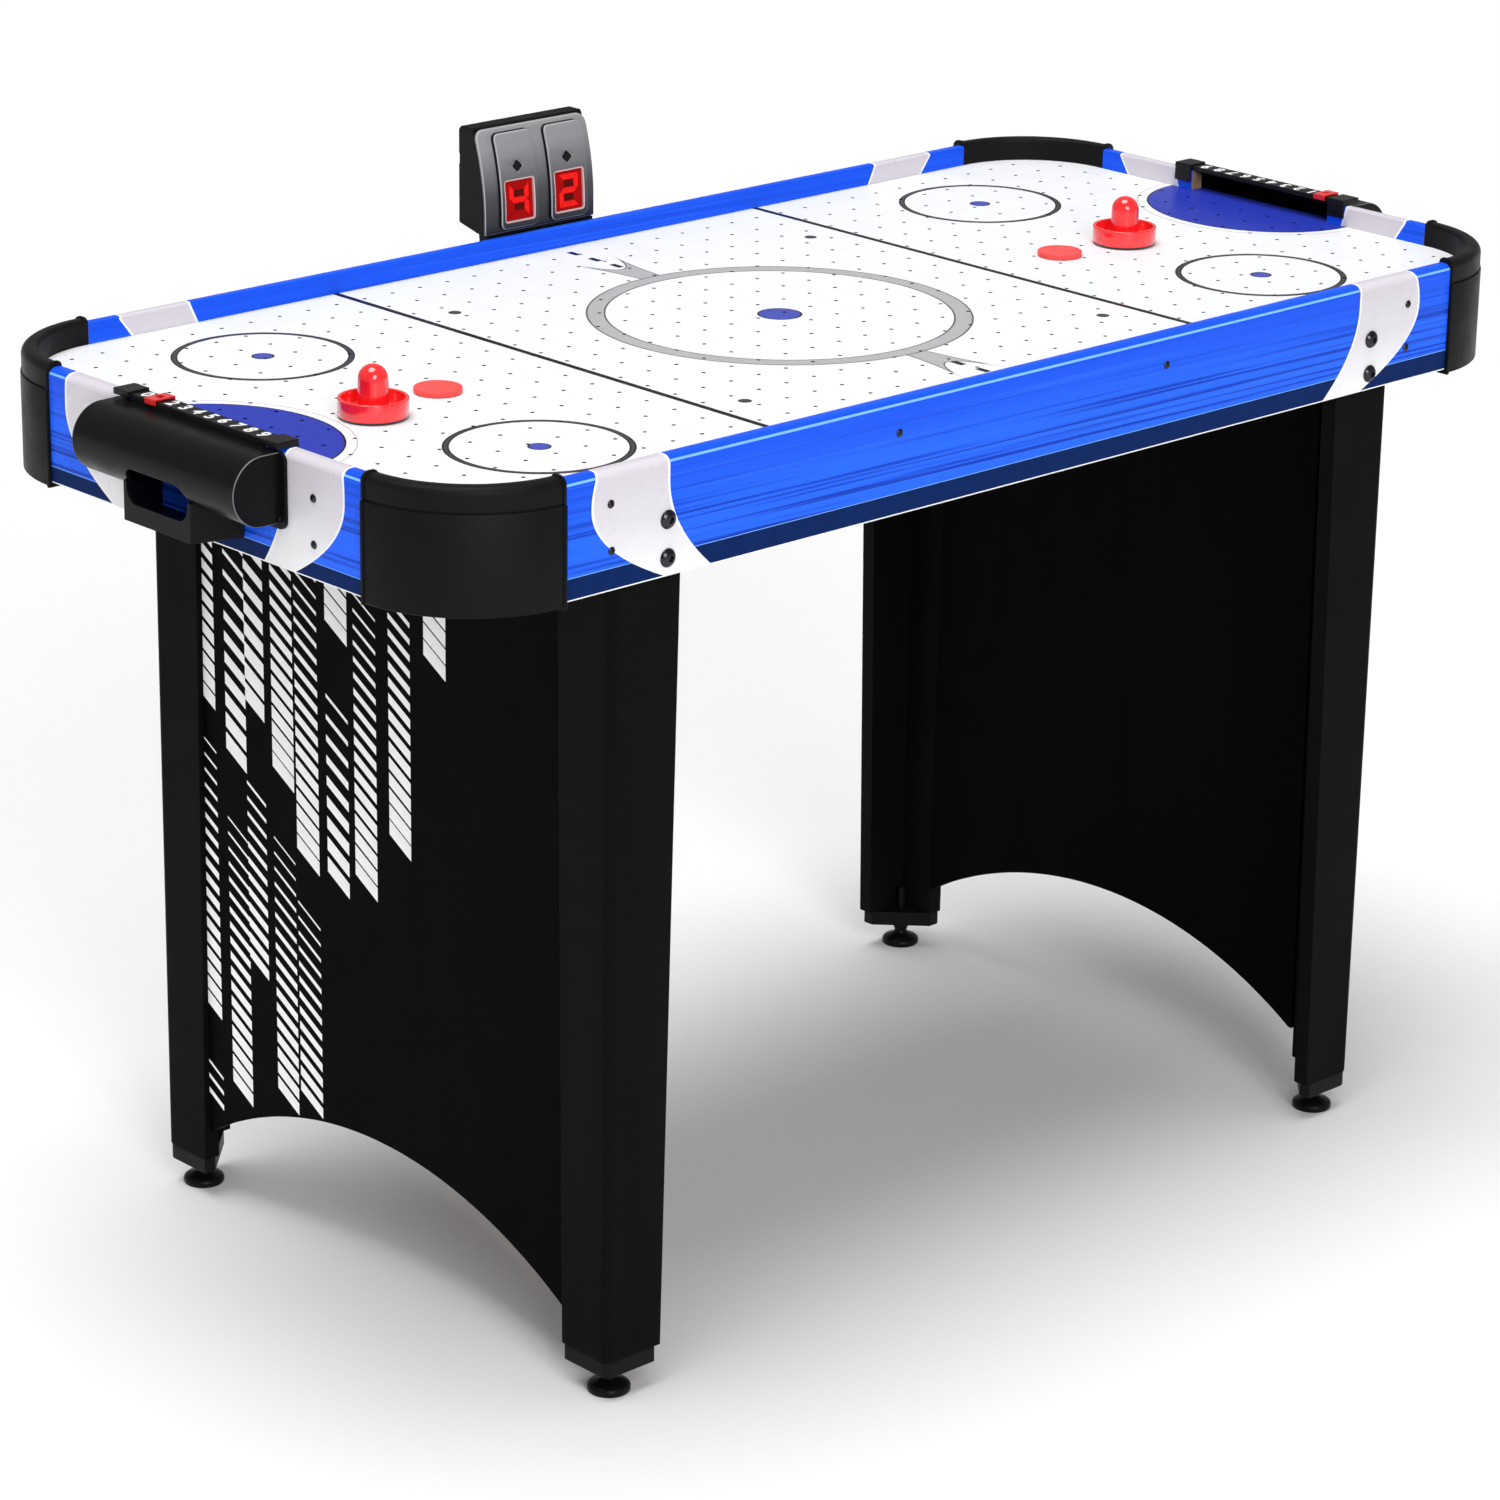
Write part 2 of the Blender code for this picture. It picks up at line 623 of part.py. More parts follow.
def leg_outline(side_width, end_width):
    """L-shaped plan of a leg, from its outer corner at the origin into +X and +Y."""
    bend = arc((LEG_RADIUS, LEG_RADIUS), LEG_RADIUS, 180, 270, 4)
    return bend + [(side_width, 0), (side_width, LEG_BOARD), (LEG_BOARD, LEG_BOARD),
                   (LEG_BOARD, end_width), (0, end_width)]


def at_corner(outline, side, sign, height):
    """Place a corner plan at one of the four legs."""
    return [Vector((side * (LEG_X - first), sign * (LEG_Y - second), height))
            for first, second in outline]


def build_legs():
    top = leg_outline(SIDE_WIDTH_TOP, END_WIDTH_TOP)
    bottom = leg_outline(SIDE_WIDTH_BOTTOM, END_WIDTH_BOTTOM)
    for name, side in SIDES.items():
        for row, sign in ROWS.items():
            rings = [at_corner(bottom, side, sign, LEG_BOTTOM),
                     at_corner(top, side, sign, LEG_TOP)]
            leg = keep(f"leg_{row}_{name}", lofted(f"leg_{row}_{name}", rings, 30),
                       "black_laminate")
            for height in BOLT_HEIGHTS:
                hole = rod_mesh(f"leg_bolt_hole_{row}_{name}", BOLT_RADIUS + GAP, THROUGH, 16)
                centre = (side * BOLT_X, sign * (LEG_Y - LEG_BOARD / 2), height)
                cut(leg, turned_to(hole, "Y", centre))


def build_foot_brackets():
    start = BRACKET_INSET
    bend = arc((LEG_RADIUS, LEG_RADIUS), LEG_RADIUS - start, 180, 270, 4)
    plan = bend + [(BRACKET_SPAN, start), (BRACKET_SPAN, BRACKET_END),
                   (BRACKET_END, BRACKET_SPAN), (start, BRACKET_SPAN)]
    height = LEG_BOTTOM - GAP - BRACKET_BOTTOM
    for name, side in SIDES.items():
        for row, sign in ROWS.items():
            outline = at_corner(plan, side, sign, BRACKET_BOTTOM)
            mesh = extruded(f"foot_bracket_{row}_{name}", outline, (0, 0, height), 30)
            bracket = keep(f"foot_bracket_{row}_{name}", mesh, "black_plastic")
            hole = rod_mesh(f"stem_hole_{row}_{name}", BRACKET_HOLE, THROUGH, 20)
            centre = (side * (LEG_X - FOOT_INSET), sign * (LEG_Y - FOOT_INSET), LEG_BOTTOM)
            cut(bracket, turned_to(hole, "Z", centre))


def build_leveling_feet():
    profile = [(0, FOOT_STEM_TOP), (FOOT_STEM - 0.5 * MM, FOOT_STEM_TOP),
               (FOOT_STEM, FOOT_STEM_TOP - 1 * MM), (FOOT_STEM, BRACKET_BOTTOM - 1 * MM),
               (FOOT_NECK, BRACKET_BOTTOM - 1.5 * MM), (FOOT_NECK, 12 * MM),
               (9 * MM, 9 * MM), (14 * MM, 7 * MM), (FOOT_RADIUS, 4.5 * MM),
               (FOOT_RADIUS, 1 * MM), (FOOT_RADIUS - 1 * MM, 0), (0, 0)]
    for name, side in SIDES.items():
        for row, sign in ROWS.items():
            mesh = turned(f"leveling_foot_{row}_{name}", profile, 24)
            place = (side * (LEG_X - FOOT_INSET), sign * (LEG_Y - FOOT_INSET))
            keep(f"leveling_foot_{row}_{name}", mesh, "black_plastic", place)


def panel_half(height):
    """Half the width of an end panel, which fills the gap between the tapered legs."""
    share = (height - LEG_BOTTOM) / (LEG_TOP - LEG_BOTTOM)
    leg_width = END_WIDTH_BOTTOM + share * (END_WIDTH_TOP - END_WIDTH_BOTTOM)
    return LEG_Y - leg_width - GAP


def build_end_panels():
    radius = (ARCH_HALF ** 2 + ARCH_RISE ** 2) / (2 * ARCH_RISE)
    centre = (0.0, PANEL_BOTTOM + ARCH_RISE - radius)
    spread = math.degrees(math.asin(ARCH_HALF / radius))
    top = panel_half(LEG_TOP)
    foot = panel_half(PANEL_BOTTOM)
    outline = [(-top, LEG_TOP), (-foot, PANEL_BOTTOM)]
    outline += arc(centre, radius, 90 + spread, 90 - spread, 24)
    outline += [(foot, PANEL_BOTTOM), (top, LEG_TOP)]
    outer = LEG_X - PANEL_RECESS
    for name, side in SIDES.items():
        plane = in_plane(outline, "X", side * outer)
        mesh = extruded(f"end_panel_{name}", plane, (-side * PANEL_THICKNESS, 0, 0))
        keep(f"end_panel_{name}", mesh, "black_laminate")


def build_leg_bolts():
    head = BOLT_HEAD_HEIGHT
    profile = [(0, head), (4 * MM, head - 0.4 * MM), (6.5 * MM, head - 2 * MM),
               (BOLT_HEAD_RADIUS, 1 * MM), (BOLT_HEAD_RADIUS, 0.3 * MM),
               (BOLT_RADIUS, 0.3 * MM), (BOLT_RADIUS, -BOLT_LENGTH), (0, -BOLT_LENGTH)]
    levels = {"lower": BOLT_HEIGHTS[0], "upper": BOLT_HEIGHTS[1]}
    for row, sign in ROWS.items():
        tilt = Matrix.Rotation(-sign * math.radians(90), 4, "X")
        for name, side in SIDES.items():
            for level, height in levels.items():
                mesh = turned(f"leg_bolt_{row}_{name}_{level}", profile, 16)
                centre = Vector((side * BOLT_X, sign * HALF_WIDTH, height))
                mesh.transform(Matrix.Translation(centre) @ tilt)
                keep(f"leg_bolt_{row}_{name}_{level}", mesh, "black_steel")


# ---- blower and power inlet -----------------------------------------------------------------


def build_blower_housing():
    roof = BLOWER_TOP - BLOWER_LIP
    inner = BLOWER_RADIUS - BLOWER_WALL
    profile = [(OUTLET_RADIUS, BLOWER_TOP), (BLOWER_FLANGE, BLOWER_TOP),
               (BLOWER_FLANGE, roof), (BLOWER_RADIUS, roof),
               (BLOWER_RADIUS, BLOWER_BOTTOM), (inner, BLOWER_BOTTOM),
               (inner, roof), (OUTLET_RADIUS, roof)]
    mesh = turned("blower_housing", profile, 40, closed=True)
    keep("blower_housing", mesh, "black_plastic")


def build_blower_grille():
    disc = rod_mesh("blower_grille", BLOWER_RADIUS, GRILLE_THICKNESS, 40)
    turned_to(disc, "Z", (0, 0, GRILLE_TOP - GRILLE_THICKNESS / 2))
    grille = keep("blower_grille", disc, "black_plastic")
    start = MOTOR_RADIUS + SLOT_WIDTH
    end = BLOWER_RADIUS - BLOWER_WALL - SLOT_WIDTH
    for index in range(GRILLE_SLOTS):
        low = (start, -SLOT_WIDTH / 2, GRILLE_TOP - THROUGH / 2)
        high = (end, SLOT_WIDTH / 2, GRILLE_TOP + THROUGH / 2)
        slot = box_mesh(f"grille_slot_{index}", low, high)
        slot.transform(Matrix.Rotation(2 * math.pi * index / GRILLE_SLOTS, 4, "Z"))
        cut(grille, slot)


def build_blower_motor():
    shoulder = BLOWER_BOTTOM + MOTOR_HEIGHT
    tip = BLOWER_TOP - PLATE_DROP + PLATE_THICKNESS
    profile = [(0, tip), (SHAFT_RADIUS, tip), (SHAFT_RADIUS, shoulder),
               (MOTOR_RADIUS - 2 * MM, shoulder), (MOTOR_RADIUS, shoulder - 2 * MM),
               (MOTOR_RADIUS, BLOWER_BOTTOM), (0, BLOWER_BOTTOM)]
    keep("blower_motor", turned("blower_motor", profile, 32), "bright_steel")


def build_blower_impeller():
    plate_top = BLOWER_TOP - PLATE_DROP
    plate_bottom = plate_top - PLATE_THICKNESS
    hub_bottom = BLOWER_BOTTOM + MOTOR_HEIGHT + PLATE_THICKNESS
    hub = 6 * MM
    bore = SHAFT_RADIUS + 0.1 * MM
    profile = [(bore, plate_top), (WHEEL_RADIUS, plate_top), (WHEEL_RADIUS, plate_bottom),
               (hub, plate_bottom), (hub, hub_bottom), (bore, hub_bottom)]
    wheel = keep("blower_impeller", turned("blower_impeller", profile, 32, closed=True),
                 "grey_plastic")
    for index in range(BLADES):
        low = (BLADE_START, -BLADE_THICKNESS / 2, plate_bottom - BLADE_DROP)
        high = (BLADE_END, BLADE_THICKNESS / 2, plate_bottom + PLATE_THICKNESS / 2)
        blade = box_mesh(f"blade_{index}", low, high)
        blade.transform(Matrix.Rotation(2 * math.pi * (index + 0.5) / BLADES, 4, "Z"))
        join(wheel, blade)


def build_power_socket():
    bore_end = -RAIL_THICKNESS
    proud = 1.8 * MM
    profile = [(SOCKET_BORE, proud), (SOCKET_RIM - 1 * MM, proud),
               (SOCKET_RIM, proud - 0.6 * MM), (SOCKET_RIM, GAP), (SOCKET_RADIUS, GAP),
               (SOCKET_RADIUS, -SOCKET_DEPTH), (0, -SOCKET_DEPTH), (0, bore_end),
               (SOCKET_BORE, bore_end)]
    mesh = turned("power_socket", profile, 20, closed=True)
    tilt = Matrix.Rotation(-math.radians(90), 4, "X")
    centre = Vector((SOCKET_X, HALF_WIDTH, SOCKET_HEIGHT))
    mesh.transform(Matrix.Translation(centre) @ tilt)
    keep("power_socket", mesh, "black_plastic")


# ---- score unit --------------------------------------------------------------------------------


def face_depth(height):
    """How far back the score unit's curved front lies at a height."""
    lean = max(0.0, height - FACE_STRAIGHT)
    return FACE_RADIUS - math.sqrt(FACE_RADIUS ** 2 - lean ** 2)


def front_curve(bottom, top, offset, steps):
    """Side view (y, z) of the curved front between two heights, moved back by offset."""
    heights = [bottom + (top - bottom) * step / steps for step in range(steps + 1)]
    return [(UNIT_FRONT + face_depth(height) + offset, height) for height in heights]


def curved_plate(name, left, right, bottom, top, front, back, steps):
    """A plate that follows the curved front, between two offsets from it."""
    side = front_curve(bottom, top, front, steps)
    side += list(reversed(front_curve(bottom, top, back, steps)))
    return extruded(name, in_plane(side, "X", left), (right - left, 0, 0), 30)


def through_front(name, outline):
    """A cutter along Y from an (x, z) outline, right through the face."""
    start = UNIT_FRONT - THROUGH / 3
    return extruded(name, in_plane(outline, "Y", start), (0, THROUGH, 0))


def top_corner_cut(name, low, high, radius):
    """What lies outside a rectangle with rounded top corners, as a cutter."""
    margin = 20 * MM
    left, bottom = low
    right, top = high
    rounded = [(left, bottom - margin)]
    rounded += arc((left + radius, top - radius), radius, 180, 90, 4)
    rounded += arc((right - radius, top - radius), radius, 90, 0, 4)
    rounded += [(right, bottom - margin)]
    outer = [(right + margin, bottom - margin), (right + margin, top + margin),
             (left - margin, top + margin), (left - margin, bottom - margin)]
    return through_front(name, rounded + outer)


def diamond(centre, half):
    """A square standing on its corner."""
    across, up = centre
    return [(across - half, up), (across, up - half), (across + half, up), (across, up + half)]


def build_unit_face():
    mesh = curved_plate("scoreboard_face", UNIT_LEFT, UNIT_RIGHT, UNIT_BOTTOM, FACE_TOP,
                        0.0, FACE_THICKNESS, CURVE_STEPS)
    face = keep("scoreboard_face", mesh, "grey_plastic")
    cut(face, top_corner_cut("face_corners", (UNIT_LEFT, UNIT_BOTTOM),
                             (UNIT_RIGHT, FACE_TOP), FACE_CORNER))
    for index, centre in enumerate(PANEL_CENTRES):
        left = centre - PANEL_WIDTH / 2
        right = centre + PANEL_WIDTH / 2
        join(face, curved_plate(f"raised_panel_{index}", left, right, PANEL_BOTTOM_EDGE,
                                PANEL_TOP_EDGE, -PANEL_PROUD, 1 * MM, CURVE_STEPS))
        window = rounded_rectangle((centre - WINDOW_WIDTH / 2, WINDOW_BOTTOM_EDGE),
                                   (centre + WINDOW_WIDTH / 2, WINDOW_TOP_EDGE), 1.5 * MM, 2)
        cut(face, through_front(f"display_hole_{index}", window))
        hole = diamond((centre, BUTTON_HEIGHT), BUTTON_SIZE + BUTTON_SLACK)
        cut(face, through_front(f"button_hole_{index}", hole))


def build_displays_and_buttons():
    names = ("home", "visitor")
    for name, centre in zip(names, PANEL_CENTRES):
        half = WINDOW_WIDTH / 2 - LENS_SLACK
        depth = UNIT_FRONT + face_depth(WINDOW_TOP_EDGE)
        window = rounded_rectangle((centre - half, WINDOW_BOTTOM_EDGE + LENS_SLACK),
                                   (centre + half, WINDOW_TOP_EDGE - LENS_SLACK), 1 * MM, 2)
        lens = extruded(f"display_{name}", in_plane(window, "Y", depth),
                        (0, LENS_THICKNESS, 0))
        keep(f"display_{name}", lens, "red_window")

        front = UNIT_FRONT + face_depth(BUTTON_HEIGHT) - PANEL_PROUD - BUTTON_PROUD
        outline = in_plane(diamond((centre, BUTTON_HEIGHT), BUTTON_SIZE), "Y", front)
        button = extruded(f"score_button_{name}", outline, (0, BUTTON_LENGTH, 0))
        keep(f"score_button_{name}", button, "black_plastic")


def case_side(shrink, steps):
    """Side view (y, z) of the rear case: curved front, flat back and hanging bracket."""
    front = front_curve(UNIT_BOTTOM + shrink, UNIT_TOP - shrink, FACE_THICKNESS + GAP, steps)
    back = UNIT_BACK - shrink
    foot = HALF_WIDTH + HANGER_DEPTH + shrink
    return front + [(back - CASE_BEVEL, UNIT_TOP - shrink),
                    (back, UNIT_TOP - CASE_BEVEL - shrink),
                    (back, UNIT_BOTTOM + 2 * CASE_BEVEL + shrink), (foot, UNIT_BOTTOM + shrink)]


def build_unit_case():
    side = in_plane(case_side(0.0, CURVE_STEPS), "X", UNIT_LEFT)
    mesh = extruded("scoreboard_case", side, (UNIT_RIGHT - UNIT_LEFT, 0, 0), 30)
    case = keep("scoreboard_case", mesh, "black_plastic")
    left = UNIT_LEFT + HANGER_MARGIN
    right = UNIT_RIGHT - HANGER_MARGIN
    back = HALF_WIDTH + HANGER_DEPTH
    low = (left, HALF_WIDTH + GAP, UNIT_BOTTOM - HANGER_DROP)
    join(case, box_mesh("hanging_bracket", low, (right, back, UNIT_BOTTOM - GAP)))
    low = (left, UNIT_FRONT + FACE_THICKNESS + 1 * MM, UNIT_BOTTOM - 2 * CASE_WALL)
    join(case, box_mesh("bracket_neck", low, (right, back, UNIT_BOTTOM + 2 * CASE_WALL)))

    hollow = case_side(CASE_WALL, CURVE_STEPS)
    hollow = [(depth - 4 * CASE_WALL, height) if index <= CURVE_STEPS else (depth, height)
              for index, (depth, height) in enumerate(hollow)]
    left = UNIT_LEFT + CASE_WALL
    room = UNIT_RIGHT - UNIT_LEFT - 2 * CASE_WALL
    cut(case, extruded("case_hollow", in_plane(hollow, "X", left), (room, 0, 0)))

    notch = [(UNIT_BACK + 1 * MM, NOTCH_HEIGHT - NOTCH_HALF),
             (UNIT_BACK + 1 * MM - NOTCH_HALF, NOTCH_HEIGHT),
             (UNIT_BACK + 1 * MM, NOTCH_HEIGHT + NOTCH_HALF)]
    depth = 0.75 * CASE_WALL
    for edge in (UNIT_LEFT, UNIT_RIGHT):
        start = in_plane(notch, "X", edge - depth)
        cut(case, extruded("finger_notch", start, (2 * depth, 0, 0)))

    low = (UNIT_CENTRE - COVER_HALF - COVER_SLACK,
           UNIT_BACK - COVER_THICKNESS - COVER_SLACK, COVER_BOTTOM - THROUGH / 3)
    high = (UNIT_CENTRE + COVER_HALF + COVER_SLACK, UNIT_BACK + THROUGH,
            COVER_TOP + COVER_SLACK)
    cut(case, box_mesh("cover_opening", low, high))


def build_unit_inside():
    front = UNIT_FRONT + CIRCUIT_DEPTH
    low = (UNIT_LEFT + CIRCUIT_MARGIN, front, CIRCUIT_LOW)
    high = (UNIT_RIGHT - CIRCUIT_MARGIN, front + CIRCUIT_THICKNESS, CIRCUIT_HIGH)
    keep("scoreboard_circuit", box_mesh("scoreboard_circuit", low, high), "green_board")

    low = (UNIT_CENTRE - COVER_HALF, UNIT_BACK - COVER_THICKNESS, COVER_BOTTOM)
    high = (UNIT_CENTRE + COVER_HALF, UNIT_BACK, COVER_TOP)
    keep("battery_cover", box_mesh("battery_cover", low, high), "black_plastic")


# ---- strikers and pucks -------------------------------------------------------------------------


def build_strikers():
    base = FIELD_TOP + GAP
    body = base + FELT_THICKNESS + GAP
    rim = base + STRIKER_RIM
    floor = base + 4 * MM
    knob_top = base + STRIKER_HEIGHT
    profile = arc((0.0, knob_top - KNOB_RADIUS), KNOB_RADIUS, 90, 0, 6)
    profile += [(KNOB_RADIUS + 0.5 * MM, floor + 3 * MM), (KNOB_RADIUS + 2.5 * MM, floor),
                (STRIKER_CUP - 2 * MM, floor), (STRIKER_CUP, floor + 2 * MM),
                (STRIKER_CUP, rim - 1 * MM), (STRIKER_CUP + 1 * MM, rim),
                (STRIKER_RADIUS - 1 * MM, rim), (STRIKER_RADIUS, rim - 1 * MM),
                (STRIKER_RADIUS, body), (0.0, body)]
    felt_outer = STRIKER_RADIUS - 0.5 * MM
    felt_inner = STRIKER_RADIUS - 9 * MM
    felt = [(felt_inner, base + FELT_THICKNESS), (felt_outer, base + FELT_THICKNESS),
            (felt_outer, base), (felt_inner, base)]
    for name, place in STRIKERS.items():
        keep(f"striker_{name}", turned(f"striker_{name}", profile, 36), "red_plastic", place)
        ring = turned(f"striker_felt_{name}", felt, 36, closed=True)
        keep(f"striker_felt_{name}", ring, "black_felt", place)


def build_pucks():
    base = FIELD_TOP + GAP
    top = base + PUCK_THICKNESS
    profile = [(0, top), (PUCK_RADIUS - 1 * MM, top), (PUCK_RADIUS, top - 1 * MM),
               (PUCK_RADIUS, base + 1 * MM), (PUCK_RADIUS - 1 * MM, base), (0, base)]
    for name, place in PUCKS.items():
        keep(f"puck_{name}", turned(f"puck_{name}", profile, 36), "red_plastic", place)


def build_table():
    build_playfield()
    build_air_chamber()
    build_side_rails()
    build_end_rails()
    build_corner_caps()
    build_goal_boxes()
    build_score_bars()
    build_score_sliders()
    build_legs()
    build_foot_brackets()
    build_leveling_feet()
    build_end_panels()
    build_leg_bolts()
    build_blower_housing()
    build_blower_grille()
    build_blower_motor()
    build_blower_impeller()
    build_power_socket()
    build_unit_case()
    build_unit_face()
    build_displays_and_buttons()
    build_unit_inside()
    build_strikers()
    build_pucks()


build_table()
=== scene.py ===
"""Looks of the air hockey table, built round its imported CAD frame.

Most pieces are drawn in the table's own frame, with the middle of the playing surface at
x = y = 0 and the floor at z = 0, and then set at TABLE_Y. All lengths are in metres.
"""
import math
from typing import Callable, NamedTuple

import bmesh
import bpy
from mathutils import Matrix, Quaternion, Vector
from mathutils.geometry import delaunay_2d_cdt


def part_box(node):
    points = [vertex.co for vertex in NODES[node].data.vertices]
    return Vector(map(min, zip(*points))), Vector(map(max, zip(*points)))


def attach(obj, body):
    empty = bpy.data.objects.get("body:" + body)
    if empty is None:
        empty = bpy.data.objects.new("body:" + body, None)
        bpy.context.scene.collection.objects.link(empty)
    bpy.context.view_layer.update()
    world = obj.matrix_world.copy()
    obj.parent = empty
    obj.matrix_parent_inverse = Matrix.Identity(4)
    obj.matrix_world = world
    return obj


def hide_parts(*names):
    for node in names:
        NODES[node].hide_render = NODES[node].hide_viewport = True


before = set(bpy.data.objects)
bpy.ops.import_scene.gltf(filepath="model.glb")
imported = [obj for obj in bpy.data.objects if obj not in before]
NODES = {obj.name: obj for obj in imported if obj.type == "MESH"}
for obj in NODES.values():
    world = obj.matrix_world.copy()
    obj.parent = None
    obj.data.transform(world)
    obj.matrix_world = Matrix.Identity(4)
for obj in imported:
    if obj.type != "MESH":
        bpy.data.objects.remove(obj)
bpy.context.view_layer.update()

MM = 0.001
GAP = 0.3 * MM
THROUGH = 60 * MM
WELD = 0.001 * MM
ON_LINE = 0.01 * MM
BORE_SIDES = 24

FIELD_LOW, FIELD_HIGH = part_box("playfield")
RAIL_LOW, RAIL_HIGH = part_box("side_rail_front")
TABLE_Y = (FIELD_LOW.y + FIELD_HIGH.y) / 2
FIELD_TOP = FIELD_HIGH.z
FIELD_BOTTOM = FIELD_LOW.z
RAIL_TOP = RAIL_HIGH.z
RAIL_BOTTOM = RAIL_LOW.z
HALF_WIDTH = TABLE_Y - RAIL_LOW.y
HALF_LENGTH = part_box("end_rail_right")[1].x
SIDE_RAIL_HALF = RAIL_HIGH.x
END_RAIL_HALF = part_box("end_rail_right")[1].y - TABLE_Y
RAIL_THICKNESS = 13 * MM
RAIL_ROUND_OUT = 7 * MM
RAIL_ROUND_IN = 2 * MM

SIDES = {"left": -1, "right": 1}
ROWS = {"front": -1, "back": 1}
CORNERS = [(f"{row}_{name}", side, sign)
           for name, side in SIDES.items() for row, sign in ROWS.items()]


# ---- materials ---------------------------------------------------------------

# Noise keeps mostly between these two levels, so they stand for its darkest and lightest.
NOISE_LOW = 0.3
NOISE_HIGH = 0.7
SMOOTHEST = 0.02
STREAK_CLIMB = 0.012


class Finish:
    """A material being made: a Principled shader and the nodes that feed it."""

    def __init__(self, name, colour, roughness, **sockets):
        self.material = bpy.data.materials.new(name)
        self.material.use_nodes = True
        self.tree = self.material.node_tree
        self.shader = self.tree.nodes["Principled BSDF"]
        self.colour = colour
        self.roughness = roughness
        self.put("Base Color", (*colour, 1.0))
        self.put("Roughness", roughness)
        for socket, value in sockets.items():
            self.put(socket.replace("_", " "), value)
        self.where = self.tree.nodes.new("ShaderNodeTexCoord").outputs["Object"]

    def put(self, socket, value):
        self.shader.inputs[socket].default_value = value

    def feed(self, socket, source):
        self.tree.links.new(source, self.shader.inputs[socket])

    def give(self, socket, value):
        """Set an input to a number, or link it to another node's output."""
        if isinstance(value, bpy.types.NodeSocket):
            self.tree.links.new(value, socket)
        else:
            socket.default_value = value

    def node(self, kind, **inputs):
        """A node whose inputs, named or numbered as i0, i1, are numbers or other outputs."""
        made = self.tree.nodes.new(kind)
        for key, value in inputs.items():
            numbered = key[0] == "i" and key[1:].isdigit()
            self.give(made.inputs[int(key[1:]) if numbered else key], value)
        return made

    def math(self, operation, first, second=0.0):
        made = self.node("ShaderNodeMath", i0=first, i1=second)
        made.operation = operation
        made.use_clamp = operation == "MULTIPLY_ADD"
        return made.outputs[0]

    def part(self, axis):
        """One coordinate of the point that is shaded."""
        return self.node("ShaderNodeSeparateXYZ", i0=self.where).outputs[axis]

    def noise(self, scale, detail=2.0, stretch=(1.0, 1.0, 1.0)):
        mapped = self.node("ShaderNodeMapping", Vector=self.where, Scale=stretch)
        made = self.node("ShaderNodeTexNoise", Vector=mapped.outputs[0], Scale=scale,
                         Detail=detail)
        return made.outputs["Fac"]

    def ramp(self, source, *stops):
        made = self.node("ShaderNodeValToRGB", Fac=source)
        elements = made.color_ramp.elements
        while len(elements) < len(stops):
            elements.new(0.5)
        for element, (position, colour) in zip(elements, stops):
            element.position = position
            element.color = (*colour, 1.0)
        return made.outputs["Color"]

    def level(self, source, low, high, to_low, to_high):
        """Map a range of the source onto another range."""
        made = self.node("ShaderNodeMapRange", i0=source, i1=low, i2=high, i3=to_low,
                         i4=to_high)
        return made.outputs[0]

    def mix(self, factor, first, second):
        """Blend two colours; the factor and colour inputs are numbers 0, 6 and 7."""
        made = self.tree.nodes.new("ShaderNodeMix")
        made.data_type = "RGBA"
        for index, value in ((0, factor), (6, first), (7, second)):
            self.give(made.inputs[index], value)
        return made.outputs[2]

    def bump(self, source, depth):
        made = self.node("ShaderNodeBump", Height=source, Distance=depth, Strength=1.0)
        self.feed("Normal", made.outputs[0])

    def mottle(self, scale, share, detail=3.0, stretch=(1.0, 1.0, 1.0)):
        """Base colour that drifts darker and lighter by a share."""
        dark = tuple(part * (1 - share) for part in self.colour)
        light = tuple(min(1.0, part * (1 + share)) for part in self.colour)
        drift = self.noise(scale, detail, stretch)
        self.feed("Base Color", self.ramp(drift, (NOISE_LOW, dark), (NOISE_HIGH, light)))

    def uneven(self, scale, spread):
        """Roughness that varies by a spread each way."""
        low = max(SMOOTHEST, self.roughness - spread)
        high = min(1.0, self.roughness + spread)
        self.feed("Roughness", self.level(self.noise(scale, 4.0), NOISE_LOW, NOISE_HIGH,
                                          low, high))


def surface(name, colour, roughness, drift, gloss=None, grain=None, **sockets):
    """A finish from its drift in colour, its uneven gloss and its grain."""
    finish = Finish(name, colour, roughness, **sockets)
    finish.mottle(*drift)
    if gloss:
        finish.uneven(*gloss)
    if grain:
        scale, detail, depth = grain
        finish.bump(finish.noise(scale, detail), depth)
    return finish.material


def moulded(name, colour, roughness, pitch=0.9 * MM, depth=0.06 * MM, **sockets):
    """Moulded plastic: slight colour drift and a fine spark-eroded grain."""
    return surface(name, colour, roughness, (14.0, 0.10), (40.0, 0.07),
                   (1 / pitch, 3.0, depth), **sockets)


def glossy(name, colour, roughness, **sockets):
    """Polished plastic: faint flow marks and an almost even gloss."""
    return surface(name, colour, roughness, (9.0, 0.05), (60.0, 0.04),
                   (260.0, 2.0, 0.02 * MM), **sockets)


def laminate(name, colour, roughness, share=0.05, **sockets):
    """Paper-faced board: long faint fibres and a low orange peel."""
    return surface(name, colour, roughness, (22.0, share, 4.0, (1.0, 1.0, 0.12)),
                   (30.0, 0.06), (420.0, 3.0, 0.035 * MM), **sockets)


def ink(name, colour, roughness=0.30, share=0.06, **sockets):
    """Printed ink: slightly uneven cover with a smooth coat on top."""
    return surface(name, colour, roughness, (90.0, share, 4.0), (120.0, 0.04), **sockets)


def steel(name, colour, roughness):
    """Plated steel with faint turning marks."""
    return surface(name, colour, roughness, (120.0, 0.08), (200.0, 0.08),
                   (900.0, 2.0, 0.02 * MM), Metallic=1.0)


